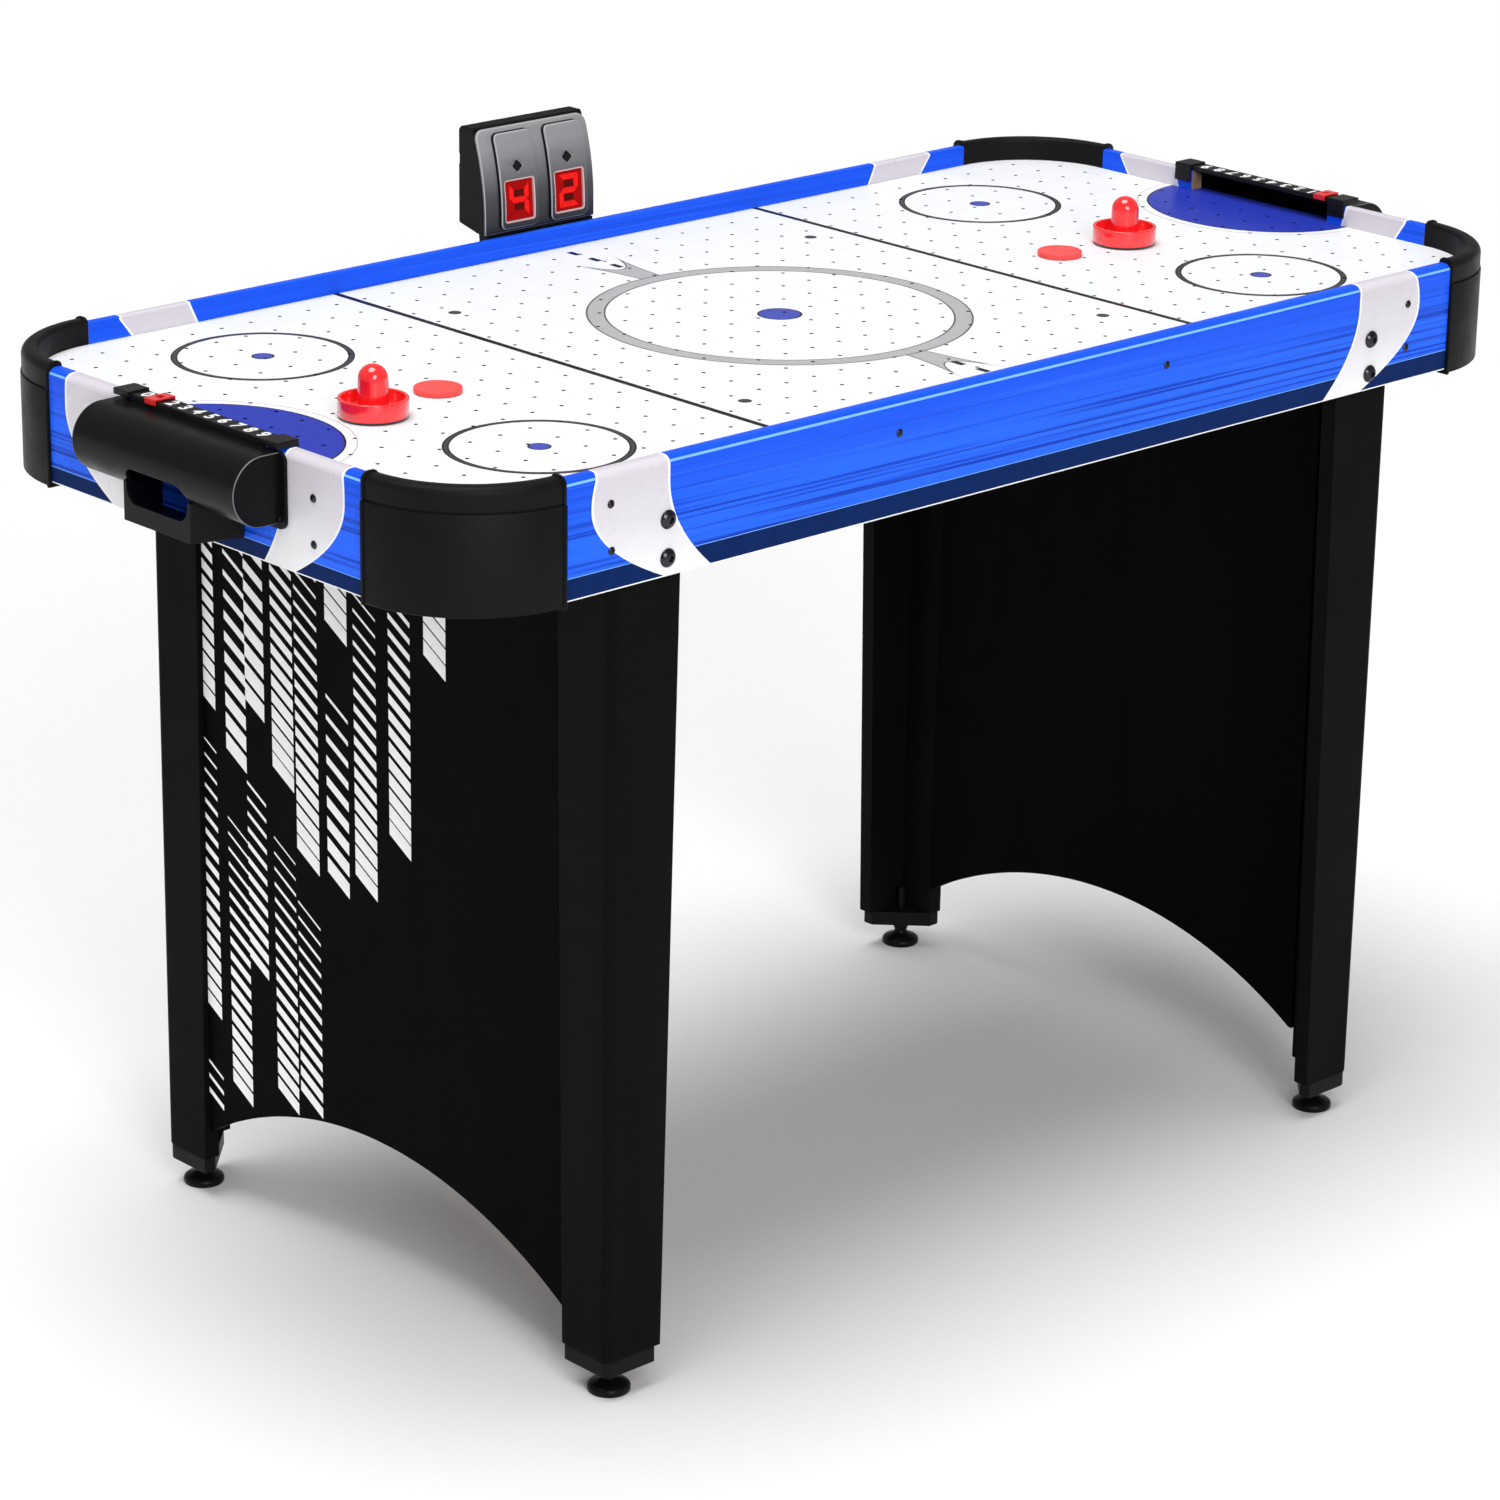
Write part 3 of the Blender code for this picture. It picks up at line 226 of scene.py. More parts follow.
def fibreboard(name, colour):
    """Raw fibreboard: mottled fibres, rough and soft."""
    return surface(name, colour, 0.85, (160.0, 0.30, 6.0, (1.0, 1.0, 0.5)),
                   grain=(700.0, 5.0, 0.15 * MM))


def felt(name, colour):
    """Pressed felt: a dense nap with a soft sheen."""
    return surface(name, colour, 0.95, (800.0, 0.35, 5.0), grain=(1600.0, 5.0, 0.25 * MM),
                   Sheen_Weight=0.4, Sheen_Roughness=0.6)


def streaks(finish, run, slope, along, across, offset, detail):
    """Noise drawn out along the rail: how fast it changes along and across it."""
    place = finish.node("ShaderNodeCombineXYZ", i0=finish.math("MULTIPLY", run, along),
                        i1=offset, i2=finish.math("MULTIPLY", slope, across))
    made = finish.node("ShaderNodeTexNoise", Vector=place.outputs[0], Scale=1.0,
                       Detail=detail)
    return made.outputs["Fac"]


def rail_print():
    """The rails' blue print: long streaks along the rail, denser towards its foot."""
    foot_blue = (0.016, 0.135, 1.0, 1.0)
    top_blue = (0.009, 0.092, 0.84, 1.0)
    streak_blue = (0.003, 0.042, 0.46, 1.0)
    light_blue = (0.030, 0.165, 0.96, 1.0)
    finish = Finish("rail_blue_print", (0.014, 0.115, 0.90), 0.30, Specular_IOR_Level=0.10)
    height = finish.part("Z")
    run = finish.math("ADD", finish.part("X"), finish.part("Y"))
    slope = finish.math("ADD", height, finish.math("MULTIPLY", run, STREAK_CLIMB))
    wide = streaks(finish, run, slope, 1.6, 260.0, 0.0, 2.0)
    thin = streaks(finish, run, slope, 2.6, 420.0, 3.7, 1.0)
    dark = finish.level(wide, 0.50, 0.60, 0.0, 1.0)
    low = finish.level(height, RAIL_TOP - 14 * MM, RAIL_TOP - 48 * MM, 0.25, 1.0)
    shade = finish.math("MULTIPLY", dark, low)
    deep = finish.level(height, RAIL_TOP - 45 * MM, RAIL_TOP - 10 * MM, 0.0, 1.0)
    base = finish.mix(deep, foot_blue, top_blue)
    colour = finish.mix(shade, base, streak_blue)
    bright = finish.level(thin, 0.60, 0.68, 0.0, 0.45)
    colour = finish.mix(bright, colour, light_blue)
    finish.feed("Base Color", colour)
    finish.uneven(30.0, 0.05)
    finish.bump(finish.noise(380.0, 2.0), 0.02 * MM)
    return finish.material


def rail_patch():
    """The rails' white print, with painted shade: a little darker and warmer towards the top."""
    finish = Finish("rail_white_print_painted_shade", (0.80, 0.77, 0.82), 0.28, Specular_IOR_Level=0.3)
    share = finish.level(finish.part("Z"), RAIL_BOTTOM, RAIL_TOP, 0.0, 1.0)
    drift = finish.math("ADD", share, finish.math("MULTIPLY", finish.noise(24.0), 0.03))
    # Painted shade by height: near white at the rail's foot, greyer and warmer towards its top.
    finish.feed("Base Color", finish.ramp(drift, (0.10, (0.88, 0.88, 0.90)),
                                          (0.55, (0.71, 0.69, 0.73)),
                                          (1.0, (0.63, 0.59, 0.65))))
    finish.uneven(60.0, 0.012)
    return finish.material


def face_grey():
    """The score unit's face: grey, with painted shade that darkens it towards its foot."""
    finish = Finish("score_face_grey_painted_shade", (0.16, 0.165, 0.17), 0.38, Specular_IOR_Level=0.2)
    low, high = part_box("scoreboard_face")
    drift = finish.math("ADD", finish.part("Z"),
                        finish.math("MULTIPLY", finish.noise(30.0, 2.0), 6 * MM))
    share = finish.level(drift, low.z, high.z, 0.0, 1.0)
    # Painted shade by height: near black at the foot, lighter grey towards the top where the face
    # curves back.
    finish.feed("Base Color", finish.ramp(share, (0.0, (0.020, 0.020, 0.021)),
                                          (0.40, (0.068, 0.069, 0.072)),
                                          (0.85, (0.255, 0.26, 0.27))))
    finish.uneven(60.0, 0.06)
    finish.bump(finish.noise(1100.0, 3.0), 0.04 * MM)
    return finish.material


def lit_red(name, colour, strength):
    """A lit display: red plastic that glows a little, unevenly."""
    return surface(name, colour, 0.3, (120.0, 0.12), (80.0, 0.05), Specular_IOR_Level=0.05,
                   Emission_Strength=strength, Emission_Color=(*colour, 1.0))


WHITE_FIELD = laminate("field_white_laminate", (0.825, 0.835, 0.86), 0.30, 0.008,
                       Specular_IOR_Level=0.08)
# Near black for the air holes' sunk walls and floors: painted shade inside the holes.
HOLE_PAINTED_SHADE = laminate("air_hole_painted_shade", (0.006, 0.006, 0.007), 0.8, 0.2,
                     Specular_IOR_Level=0.05)
RAIL_BLUE = rail_print()
RAIL_NAVY = ink("rail_navy_print", (0.0030, 0.0190, 0.105), 0.34, 0.12,
                Specular_IOR_Level=0.03)
# White print of the rails' patches, with painted shade towards their tops.
RAIL_WHITE_SHADED = rail_patch()
RAIL_LINE = ink("rail_white_line", (0.93, 0.93, 0.94), 0.28, 0.01, Specular_IOR_Level=0.3)
# Pale blue: a printed pinstripe above the navy band, and a painted highlight along the rails'
# rounded top edge.
RAIL_PALE_LINE_AND_HIGHLIGHT = ink("rail_pale_line_and_painted_highlight", (0.20, 0.46, 0.98), 0.24, 0.06,
                Specular_IOR_Level=0.3)
RAW_BOARD = fibreboard("raw_fibreboard", (0.30, 0.175, 0.085))
BLACK_LAMINATE = laminate("leg_black_laminate", (0.0045, 0.0045, 0.0047), 0.45, 0.16,
                          Specular_IOR_Level=0.025)
# The end panels' black laminate, darker than the legs' same laminate: painted shade for panels
# set back under the table.
PANEL_BLACK_SHADED = laminate("panel_black_laminate_painted_shade", (0.0022, 0.0022, 0.0023), 0.45, 0.16,
                       Specular_IOR_Level=0.014)
BLACK_PLASTIC = moulded("black_textured_plastic", (0.0054, 0.0056, 0.0061), 0.40,
                        1.3 * MM, 0.42 * MM, Specular_IOR_Level=0.09)
BLACK_SMOOTH = moulded("black_satin_plastic", (0.0044, 0.0046, 0.0048), 0.32, 1.4 * MM,
                       0.03 * MM, Specular_IOR_Level=0.11)
# Lighter grey for the goal boxes' rounded end edges: a painted highlight along the edge.
EDGE_PAINTED_HIGHLIGHT = moulded("goal_edge_painted_highlight", (0.14, 0.14, 0.142), 0.30, 1.2 * MM,
                     0.03 * MM)
# Dark plastic of the score bars; on the score unit's raised panels it also lies on their flanks
# as painted shade.
DARK_TRIM_AND_FLANK_SHADE = moulded("dark_trim_plastic_and_painted_shade", (0.0065, 0.0065, 0.0070), 0.34, 1.2 * MM,
                    0.03 * MM, Specular_IOR_Level=0.16)
GREY_WHEEL = moulded("grey_wheel_plastic", (0.11, 0.115, 0.12), 0.42)
RED_GLOSS = glossy("red_gloss_plastic", (0.93, 0.014, 0.018), 0.20, Coat_Weight=0.8,
                   Coat_Roughness=0.04)
RED_PUCK = glossy("red_puck_plastic", (0.88, 0.080, 0.075), 0.30, Specular_IOR_Level=0.15)
RED_CLIP = glossy("red_clip_plastic", (0.78, 0.016, 0.014), 0.22, Coat_Weight=0.4,
                  Coat_Roughness=0.08)
RED_WINDOW = lit_red("red_display_window", (0.30, 0.0012, 0.0012), 0.25)
RED_LIT = lit_red("red_display_lit", (0.72, 0.010, 0.008), 0.30)
RED_WELL = lit_red("red_display_well", (0.085, 0.003, 0.001), 0.05)
FELT = felt("black_felt", (0.013, 0.013, 0.014))
SCREW_BLACK = steel("black_plated_steel", (0.045, 0.045, 0.050), 0.22)
MOTOR_STEEL = steel("motor_bright_steel", (0.58, 0.58, 0.60), 0.28)
CIRCUIT_GREEN = moulded("circuit_green", (0.02, 0.16, 0.05), 0.42)
FACE_GREY_SHADED = face_grey()
# Lighter grey for the score face's eased rims and the buttons' rims: painted highlights on these
# edges.
FACE_RIM_HIGHLIGHT = moulded("score_face_rim_painted_highlight", (0.36, 0.365, 0.37), 0.34)
# Pinkish grey round the display windows: a painted highlight on the windows' edges.
WINDOW_BORDER_HIGHLIGHT = ink("window_border_painted_highlight", (0.62, 0.42, 0.41), 0.34, 0.05)
DIGIT_WHITE = ink("digit_white_ink", (0.90, 0.90, 0.90), 0.35, 0.02)
PANEL_WHITE = ink("panel_white_ink", (0.96, 0.96, 0.965), 0.38, 0.02)

# Inks of the playing surface: name, colour, how uneven they are, and the slot they fill.
FIELD_INKS = {
    "blue": ("field_blue_ink", (0.022, 0.040, 0.400), 0.05, "blue_laminate"),
    "violet": ("dot_blue_ink", (0.060, 0.078, 0.420), 0.05, "blue_laminate"),
    "dark": ("field_dark_ink", (0.011, 0.011, 0.012), 0.10, "black_laminate"),
    "grey": ("field_grey_ink", (0.055, 0.055, 0.057), 0.06, "black_laminate"),
    "pale": ("field_pale_grey_ink", (0.42, 0.425, 0.43), 0.03, "white_laminate"),
    "edge": ("field_mid_grey_ink", (0.100, 0.102, 0.105), 0.04, "black_laminate"),
}
PRINTS = {key: ink(name, colour, share=share, Specular_IOR_Level=0.05)
          for key, (name, colour, share, _) in FIELD_INKS.items()}


# ---- modelling helpers -------------------------------------------------------


def add_object(name, data):
    """Put a mesh, curve, light or camera into the scene as an object."""
    obj = bpy.data.objects.new(name, data)
    bpy.context.scene.collection.objects.link(obj)
    return obj


def to_mesh(bm, finishes, smooth_angle=35):
    """Turn a bmesh into a smooth-shaded mesh with the finishes it may use."""
    bmesh.ops.recalc_face_normals(bm, faces=bm.faces)
    mesh = bpy.data.meshes.new("shape")
    bm.to_mesh(mesh)
    bm.free()
    for finish in finishes:
        mesh.materials.append(finish)
    mesh.shade_smooth()
    mesh.set_sharp_from_angle(angle=math.radians(smooth_angle))
    return mesh


def piece(name, mesh, body, slot, stands_for=(), place=(0.0, 0.0), turn=0.0, even=False):
    """Show a mesh as one piece of the table, riding on a CAD body."""
    mesh.name = name
    obj = add_object(name, mesh)
    obj.location = (place[0], TABLE_Y + place[1], 0.0)
    obj.rotation_euler.z = turn
    if even:
        weighted = obj.modifiers.new("even_shading", "WEIGHTED_NORMAL")
        weighted.keep_sharp = True
    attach(obj, body)
    if stands_for:
        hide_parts(*stands_for)


def stand_in(node, mesh, slot, body="table", ending="moulded", **settings):
    """Show a mesh in place of one CAD node, under the node's name and an ending."""
    piece(f"{node}_{ending}", mesh, body, slot, [node], **settings)


def piece_at(place, name, mesh, slot, stands_for=()):
    """Show a copy of a mesh, moved by a matrix, as one piece fixed to the table."""
    own = mesh.copy()
    own.transform(place)
    piece(name, own, "table", slot, stands_for)


def stood(centre, axis, degrees):
    """The matrix that turns something about an axis and then moves it to a centre."""
    return Matrix.Translation(centre) @ Matrix.Rotation(math.radians(degrees), 4, axis)


def arc(centre, radius, start, end, steps):
    """Points along an arc, in degrees, both ends included."""
    points = []
    for step in range(steps + 1):
        angle = math.radians(start + (end - start) * step / steps)
        points.append((centre[0] + radius * math.cos(angle),
                       centre[1] + radius * math.sin(angle)))
    return points


def circle(centre, radius, steps):
    return arc(centre, radius, 0, 360 - 360 / steps, steps - 1)


def rounded_rectangle(low, high, radius, steps):
    """Outline of a rectangle with four equal round corners, anticlockwise."""
    left, bottom = low[0] + radius, low[1] + radius
    right, top = high[0] - radius, high[1] - radius
    outline = arc((right, top), radius, 0, 90, steps)
    outline += arc((left, top), radius, 90, 180, steps)
    outline += arc((left, bottom), radius, 180, 270, steps)
    outline += arc((right, bottom), radius, 270, 360, steps)
    return outline


def in_plane(outline, axis, level):
    """Lift 2-D points to 3-D: axis X reads (y, z), axis Y reads (x, z), axis Z (x, y)."""
    if axis == "X":
        return [Vector((level, first, second)) for first, second in outline]
    if axis == "Y":
        return [Vector((first, level, second)) for first, second in outline]
    return [Vector((first, second, level)) for first, second in outline]


def box_bmesh(low, high):
    bm = bmesh.new()
    bmesh.ops.create_cube(bm, size=1.0)
    low = Vector(low)
    high = Vector(high)
    bmesh.ops.scale(bm, vec=high - low, verts=bm.verts)
    bmesh.ops.translate(bm, vec=(low + high) / 2, verts=bm.verts)
    return bm


def extruded_bmesh(outline, vector):
    """A flat outline of 3-D points, extruded along a vector into a closed solid."""
    bm = bmesh.new()
    face = bm.faces.new([bm.verts.new(point) for point in outline])
    grown = bmesh.ops.extrude_face_region(bm, geom=[face])
    moved = [item for item in grown["geom"] if isinstance(item, bmesh.types.BMVert)]
    bmesh.ops.translate(bm, vec=Vector(vector), verts=moved)
    bmesh.ops.recalc_face_normals(bm, faces=bm.faces)
    return bm


def slab_bmesh(outline, axis, level, thickness):
    """A flat outline at a level on an axis, thickened along that axis."""
    vector = Vector((0.0, 0.0, 0.0))
    vector["XYZ".index(axis)] = thickness
    return extruded_bmesh(in_plane(outline, axis, level), vector)


def merge_bmesh(bm, part):
    """Move the faces of one bmesh into another."""
    scratch = bpy.data.meshes.new("scratch")
    part.to_mesh(scratch)
    part.free()
    bm.from_mesh(scratch)
    bpy.data.meshes.remove(scratch)


def lofted_bmesh(rings):
    """A closed solid through rings of equally many points, capped at both ends."""
    bm = bmesh.new()
    loops = [[bm.verts.new(point) for point in ring] for ring in rings]
    count = len(rings[0])
    for lower, upper in zip(loops, loops[1:]):
        for index in range(count):
            after = (index + 1) % count
            bm.faces.new((lower[index], lower[after], upper[after], upper[index]))
    bm.faces.new(loops[0])
    bm.faces.new(loops[-1])
    bmesh.ops.recalc_face_normals(bm, faces=bm.faces)
    return bm


def turned_bmesh(profile, steps, closed=False):
    """A solid turned about Z from a profile of (radius, height) points."""
    bm = bmesh.new()
    verts = [bm.verts.new((radius, 0.0, height)) for radius, height in profile]
    for first, second in zip(verts, verts[1:]):
        bm.edges.new((first, second))
    if closed:
        bm.edges.new((verts[-1], verts[0]))
    bmesh.ops.spin(bm, geom=bm.verts[:] + bm.edges[:], cent=(0, 0, 0), axis=(0, 0, 1),
                   angle=2 * math.pi, steps=steps, use_merge=True)
    bmesh.ops.remove_doubles(bm, verts=bm.verts, dist=WELD)
    bmesh.ops.recalc_face_normals(bm, faces=bm.faces)
    return bm


def eased(bm, width, steps=2, limit=40):
    """Round every edge that turns by more than a limit in degrees."""
    edges = [edge for edge in bm.edges
             if edge.is_manifold and edge.calc_face_angle() > math.radians(limit)]
    bmesh.ops.bevel(bm, geom=edges, offset=width, segments=steps, profile=0.5,
                    affect="EDGES", clamp_overlap=True)
    return bm


def boolean(mesh, bm, operation="DIFFERENCE", finish_index=0, smooth_angle=35):
    """Cut a solid out of a mesh or join it on, and give the result as a new mesh.

    The faces that the solid leaves behind take the finish with the index.
    """
    cutter_mesh = to_mesh(bm, mesh.materials)
    for polygon in cutter_mesh.polygons:
        polygon.material_index = finish_index
    target = add_object("target", mesh)
    cutter = add_object("cutter", cutter_mesh)
    modifier = target.modifiers.new("boolean", "BOOLEAN")
    modifier.object = cutter
    modifier.operation = operation
    modifier.solver = "EXACT"
    shown = target.evaluated_get(bpy.context.evaluated_depsgraph_get())
    result = bpy.data.meshes.new_from_object(shown)
    for obj in (target, cutter):
        bpy.data.objects.remove(obj)
    bpy.data.meshes.remove(cutter_mesh)
    result.shade_smooth()
    result.set_sharp_from_angle(angle=math.radians(smooth_angle))
    return result


def rod_bmesh(radius, length, steps, centre=(0, 0, 0), axis="Z"):
    """A straight rod, centred, along an axis."""
    profile = [(0, length / 2), (radius, length / 2), (radius, -length / 2),
               (0, -length / 2)]
    bm = turned_bmesh(profile, steps)
    if axis == "Y":
        bm.transform(Matrix.Rotation(math.radians(90), 4, "X"))
    bm.transform(Matrix.Translation(centre))
    return bm


def triangles(loops, lines=()):
    """Cut the plane into triangles that keep closed loops and open lines as edges."""
    points = []
    edges = []
    for path, closed in [(loop, True) for loop in loops] + [(line, False) for line in lines]:
        start = len(points)
        points += [Vector(point) for point in path]
        edges += [(start + index, start + index + 1) for index in range(len(path) - 1)]
        if closed:
            edges.append((start + len(path) - 1, start))
    made = delaunay_2d_cdt(points, edges, [], 0, 1e-7)
    return made[0], made[2]


def middle(corners):
    return sum(corners, Vector((0.0, 0.0))) / len(corners)


def solid_from(points, faces, front, back):
    """A solid over some triangles of the plane: front and back lift a point to 3-D."""
    bm = bmesh.new()
    used = sorted({index for face in faces for index in face})
    verts = {index: bm.verts.new(front(points[index])) for index in used}
    under = {index: bm.verts.new(back(points[index])) for index in used}
    borders = {}
    for face in faces:
        bm.faces.new([verts[index] for index in face])
        bm.faces.new([under[index] for index in reversed(face)])
        for first, second in zip(face, face[1:] + face[:1]):
            key = (min(first, second), max(first, second))
            borders[key] = None if key in borders else (first, second)
    for pair in borders.values():
        if pair is not None:
            first, second = pair
            bm.faces.new((verts[second], verts[first], under[first], under[second]))
    return bm


# ---- playing surface ---------------------------------------------------------

HOLE_COLUMNS = 39
HOLE_ROWS = 17
HOLE_PITCH_X = 30.1 * MM
HOLE_PITCH_Y = 32.3 * MM
HOLE_RADIUS = 1.9 * MM
HOLE_SIDES = 8
HOLE_FLOOR_SIDES = 12
HOLE_DEPTH = 3.2 * MM
HOLE_MARGIN = 9 * MM
HOLE_REACH = 1.2 * HOLE_RADIUS
MARKS_AT = (-7 * MM, -2 * MM)
CORNER_RADIUS = 102 * MM
PRINT_THICKNESS = 0.06 * MM

LINE_X = 242 * MM
LINE_HALF = 3.1 * MM
CREASE = (96 * MM, 106 * MM)
CREASE_GAP = 8 * MM
CIRCLE_OUTER = 162 * MM
CIRCLE_INNER = 145.5 * MM
CENTRE_DOT = 19 * MM
FACE_OFF = (412 * MM, 170 * MM)
FACE_OFF_OUTER = 74 * MM
FACE_OFF_INNER = 68.5 * MM
FACE_OFF_DOT = 9.4 * MM
SPOT = (205 * MM, 177 * MM)
SPOT_RADIUS = 5.5 * MM
BORDER = 1.5 * MM
DASH_STARTS = (201 * MM, 229 * MM, 257 * MM)
DASH_LENGTH = 13 * MM
DASH_X = -3 * MM
HORN_BASE = (11 * MM, 158 * MM)
HORN_TIP = (28 * MM, 250 * MM)
HORN_NOTCH = 198 * MM


def field_outline(inset, steps):
    """The shape inside the rails and corner caps, shrunk by an inset."""
    half_x = HALF_LENGTH - RAIL_THICKNESS - GAP - inset
    half_y = HALF_WIDTH - RAIL_THICKNESS - GAP - inset
    radius = CORNER_RADIUS - RAIL_THICKNESS - GAP - inset
    return rounded_rectangle((-half_x, -half_y), (half_x, half_y), radius, steps)


def inside_field(point, margin=0.0):
    half_x = HALF_LENGTH - RAIL_THICKNESS - GAP - margin
    half_y = HALF_WIDTH - RAIL_THICKNESS - GAP - margin
    radius = CORNER_RADIUS - RAIL_THICKNESS - GAP
    across = max(abs(point[0]) - (half_x - radius), 0.0)
    along = max(abs(point[1]) - (half_y - radius), 0.0)
    return math.hypot(across, along) <= radius


def hole_centres():
    centres = []
    for column in range(HOLE_COLUMNS):
        for row in range(HOLE_ROWS):
            centre = ((column - (HOLE_COLUMNS - 1) / 2) * HOLE_PITCH_X,
                      (row - (HOLE_ROWS - 1) / 2) * HOLE_PITCH_Y)
            if inside_field(centre, HOLE_MARGIN):
                centres.append(centre)
    return centres


def from_hole(point):
    """The way from the nearest air hole's centre to a point."""
    column = round(point[0] / HOLE_PITCH_X)
    row = round(point[1] / HOLE_PITCH_Y)
    return Vector((point[0] - column * HOLE_PITCH_X, point[1] - row * HOLE_PITCH_Y))


def in_hole(point):
    """True inside the eight-sided outline of an air hole."""
    away = from_hole(point)
    flat = HOLE_RADIUS * math.cos(math.pi / HOLE_SIDES)
    for side in range(HOLE_SIDES):
        angle = 2 * math.pi * (side + 0.5) / HOLE_SIDES
        if away.x * math.cos(angle) + away.y * math.sin(angle) > flat:
            return False
    return True


def curve_between(start, bend, end, steps):
    """Points of a curve that leaves start towards bend and arrives at end."""
    points = []
    for step in range(steps + 1):
        share = step / steps
        points.append(tuple((1 - share) ** 2 * a + 2 * share * (1 - share) * b + share ** 2 * c
                            for a, b, c in zip(start, bend, end)))
    return points


def horn_outline(sign):
    """The forked mark that stands on the centre circle."""
    base_x, base_y = HORN_BASE
    tip_x, tip_y = HORN_TIP
    foot = base_y - 6 * MM
    right = [(base_x, foot)] + curve_between((base_x, base_y), (13 * MM, 200 * MM),
                                             (tip_x, tip_y), 10)
    right += curve_between((tip_x, tip_y), (13 * MM, 197 * MM), (0.0, HORN_NOTCH), 10)[1:]
    left = [(-x, y) for x, y in reversed(right[:-1])]
    return [(x + MARKS_AT[0], sign * y + MARKS_AT[1]) for x, y in right + left]


def in_polygon(point, outline):
    found = False
    for first, second in zip(outline, outline[1:] + outline[:1]):
        if (first[1] > point[1]) != (second[1] > point[1]):
            slope = (second[0] - first[0]) / (second[1] - first[1])
            if point[0] < first[0] + slope * (point[1] - first[1]):
                found = not found
    return found


def shrunk(outline, amount):
    """An outline moved inwards by an amount, for narrow borders."""
    count = len(outline)
    moved = []
    area = sum(a[0] * b[1] - b[0] * a[1] for a, b in zip(outline, outline[1:] + outline[:1]))
    turn = 1 if area > 0 else -1
    for index in range(count):
        before = Vector(outline[index - 1])
        here = Vector(outline[index])
        after = Vector(outline[(index + 1) % count])
        first = (here - before).normalized()
        second = (after - here).normalized()
        normal = Vector((-(first.y + second.y), first.x + second.x))
        if normal.length < 1e-6:
            normal = Vector((-first.y, first.x))
        normal.normalize()
        reach = amount / max(0.35, normal.dot(Vector((-first.y, first.x))))
        moved.append(tuple(here + normal * turn * reach))
    return moved


class Marking(NamedTuple):
    """One printed shape: the outlines it brings, and which ink covers a point."""

    loops: list
    ink_at: Callable


def ring_marking(centre, outer, inner, fill, edge, steps):
    """A printed ring, or a dot where inner is 0, with a narrow border in another ink."""
    radii = [outer, outer - BORDER]
    if inner:
        radii += [inner + BORDER, inner]

    def ink_at(point):
        reach = math.hypot(point[0] - centre[0], point[1] - centre[1])
        if not inner <= reach <= outer:
            return None
        near_edge = reach > outer - BORDER or (inner and reach < inner + BORDER)
        return edge if near_edge else fill

    return Marking([circle(centre, radius, steps) for radius in radii], ink_at)


def crease_marking(side):
    """The half ellipse before a goal, with a thin line round it."""
    steps = 96
    sizes = [0.0, -BORDER, CREASE_GAP, CREASE_GAP + 0.6 * BORDER]
    edge_x = HALF_LENGTH - RAIL_THICKNESS - GAP

    def reach(point, grow):
        across = (abs(point[0]) - edge_x) / (CREASE[0] + grow)
        along = point[1] / (CREASE[1] + grow)
        return across ** 2 + along ** 2

    def ink_at(point):
        if point[0] * side < 0:
            return None
        if reach(point, -BORDER) < 1:
            return "blue"
        if reach(point, 0.0) < 1:
            return "dark"
        if reach(point, sizes[2]) > 1 and reach(point, sizes[3]) < 1:
            return "pale"
        return None

    loops = []
    for grow in sizes:
        loops.append([(side * edge_x + (CREASE[0] + grow) * x, (CREASE[1] + grow) * y)
                      for x, y in circle((0, 0), 1.0, steps)])
    return Marking(loops, ink_at)


def bar_marking(low, high, ink_name):
    """A printed rectangle."""
    loop = [low, (high[0], low[1]), high, (low[0], high[1])]

    def ink_at(point):
        within = low[0] < point[0] < high[0] and low[1] < point[1] < high[1]
        return ink_name if within else None

    return Marking([loop], ink_at)


def horn_marking(sign):
    outline = horn_outline(sign)
    inner = shrunk(outline, 0.8 * BORDER)

    def ink_at(point):
        if math.dist(point, MARKS_AT) < CIRCLE_OUTER or not in_polygon(point, outline):
            return None
        return "pale" if in_polygon(point, inner) else "edge"

    return Marking([outline, inner], ink_at)


def all_markings():
    shift_x, shift_y = MARKS_AT
    marks = [ring_marking(MARKS_AT, CIRCLE_OUTER, CIRCLE_INNER, "pale", "edge", 160),
             ring_marking(MARKS_AT, CENTRE_DOT, 0.0, "violet", "dark", 48)]
    for side in SIDES.values():
        marks.append(crease_marking(side))
        line = side * LINE_X + shift_x
        marks.append(bar_marking((line - LINE_HALF, -HALF_WIDTH),
                                 (line + LINE_HALF, HALF_WIDTH), "dark"))
        for sign in ROWS.values():
            spot = (side * FACE_OFF[0] + shift_x, sign * FACE_OFF[1] + shift_y)
            marks.append(ring_marking(spot, FACE_OFF_OUTER, FACE_OFF_INNER, "grey", "dark",
                                      112))
            marks.append(ring_marking(spot, FACE_OFF_DOT, 0.0, "violet", "dark", 32))
            spot = (side * SPOT[0] + shift_x, sign * SPOT[1] + shift_y)
            marks.append(ring_marking(spot, SPOT_RADIUS, 0.0, "grey", "dark", 24))
    for sign in ROWS.values():
        marks.append(horn_marking(sign))
        for start in DASH_STARTS:
            low, high = sorted((sign * start, sign * (start + DASH_LENGTH)))
            marks.append(bar_marking((DASH_X - LINE_HALF, low), (DASH_X + LINE_HALF, high),
                                     "dark"))
    return marks


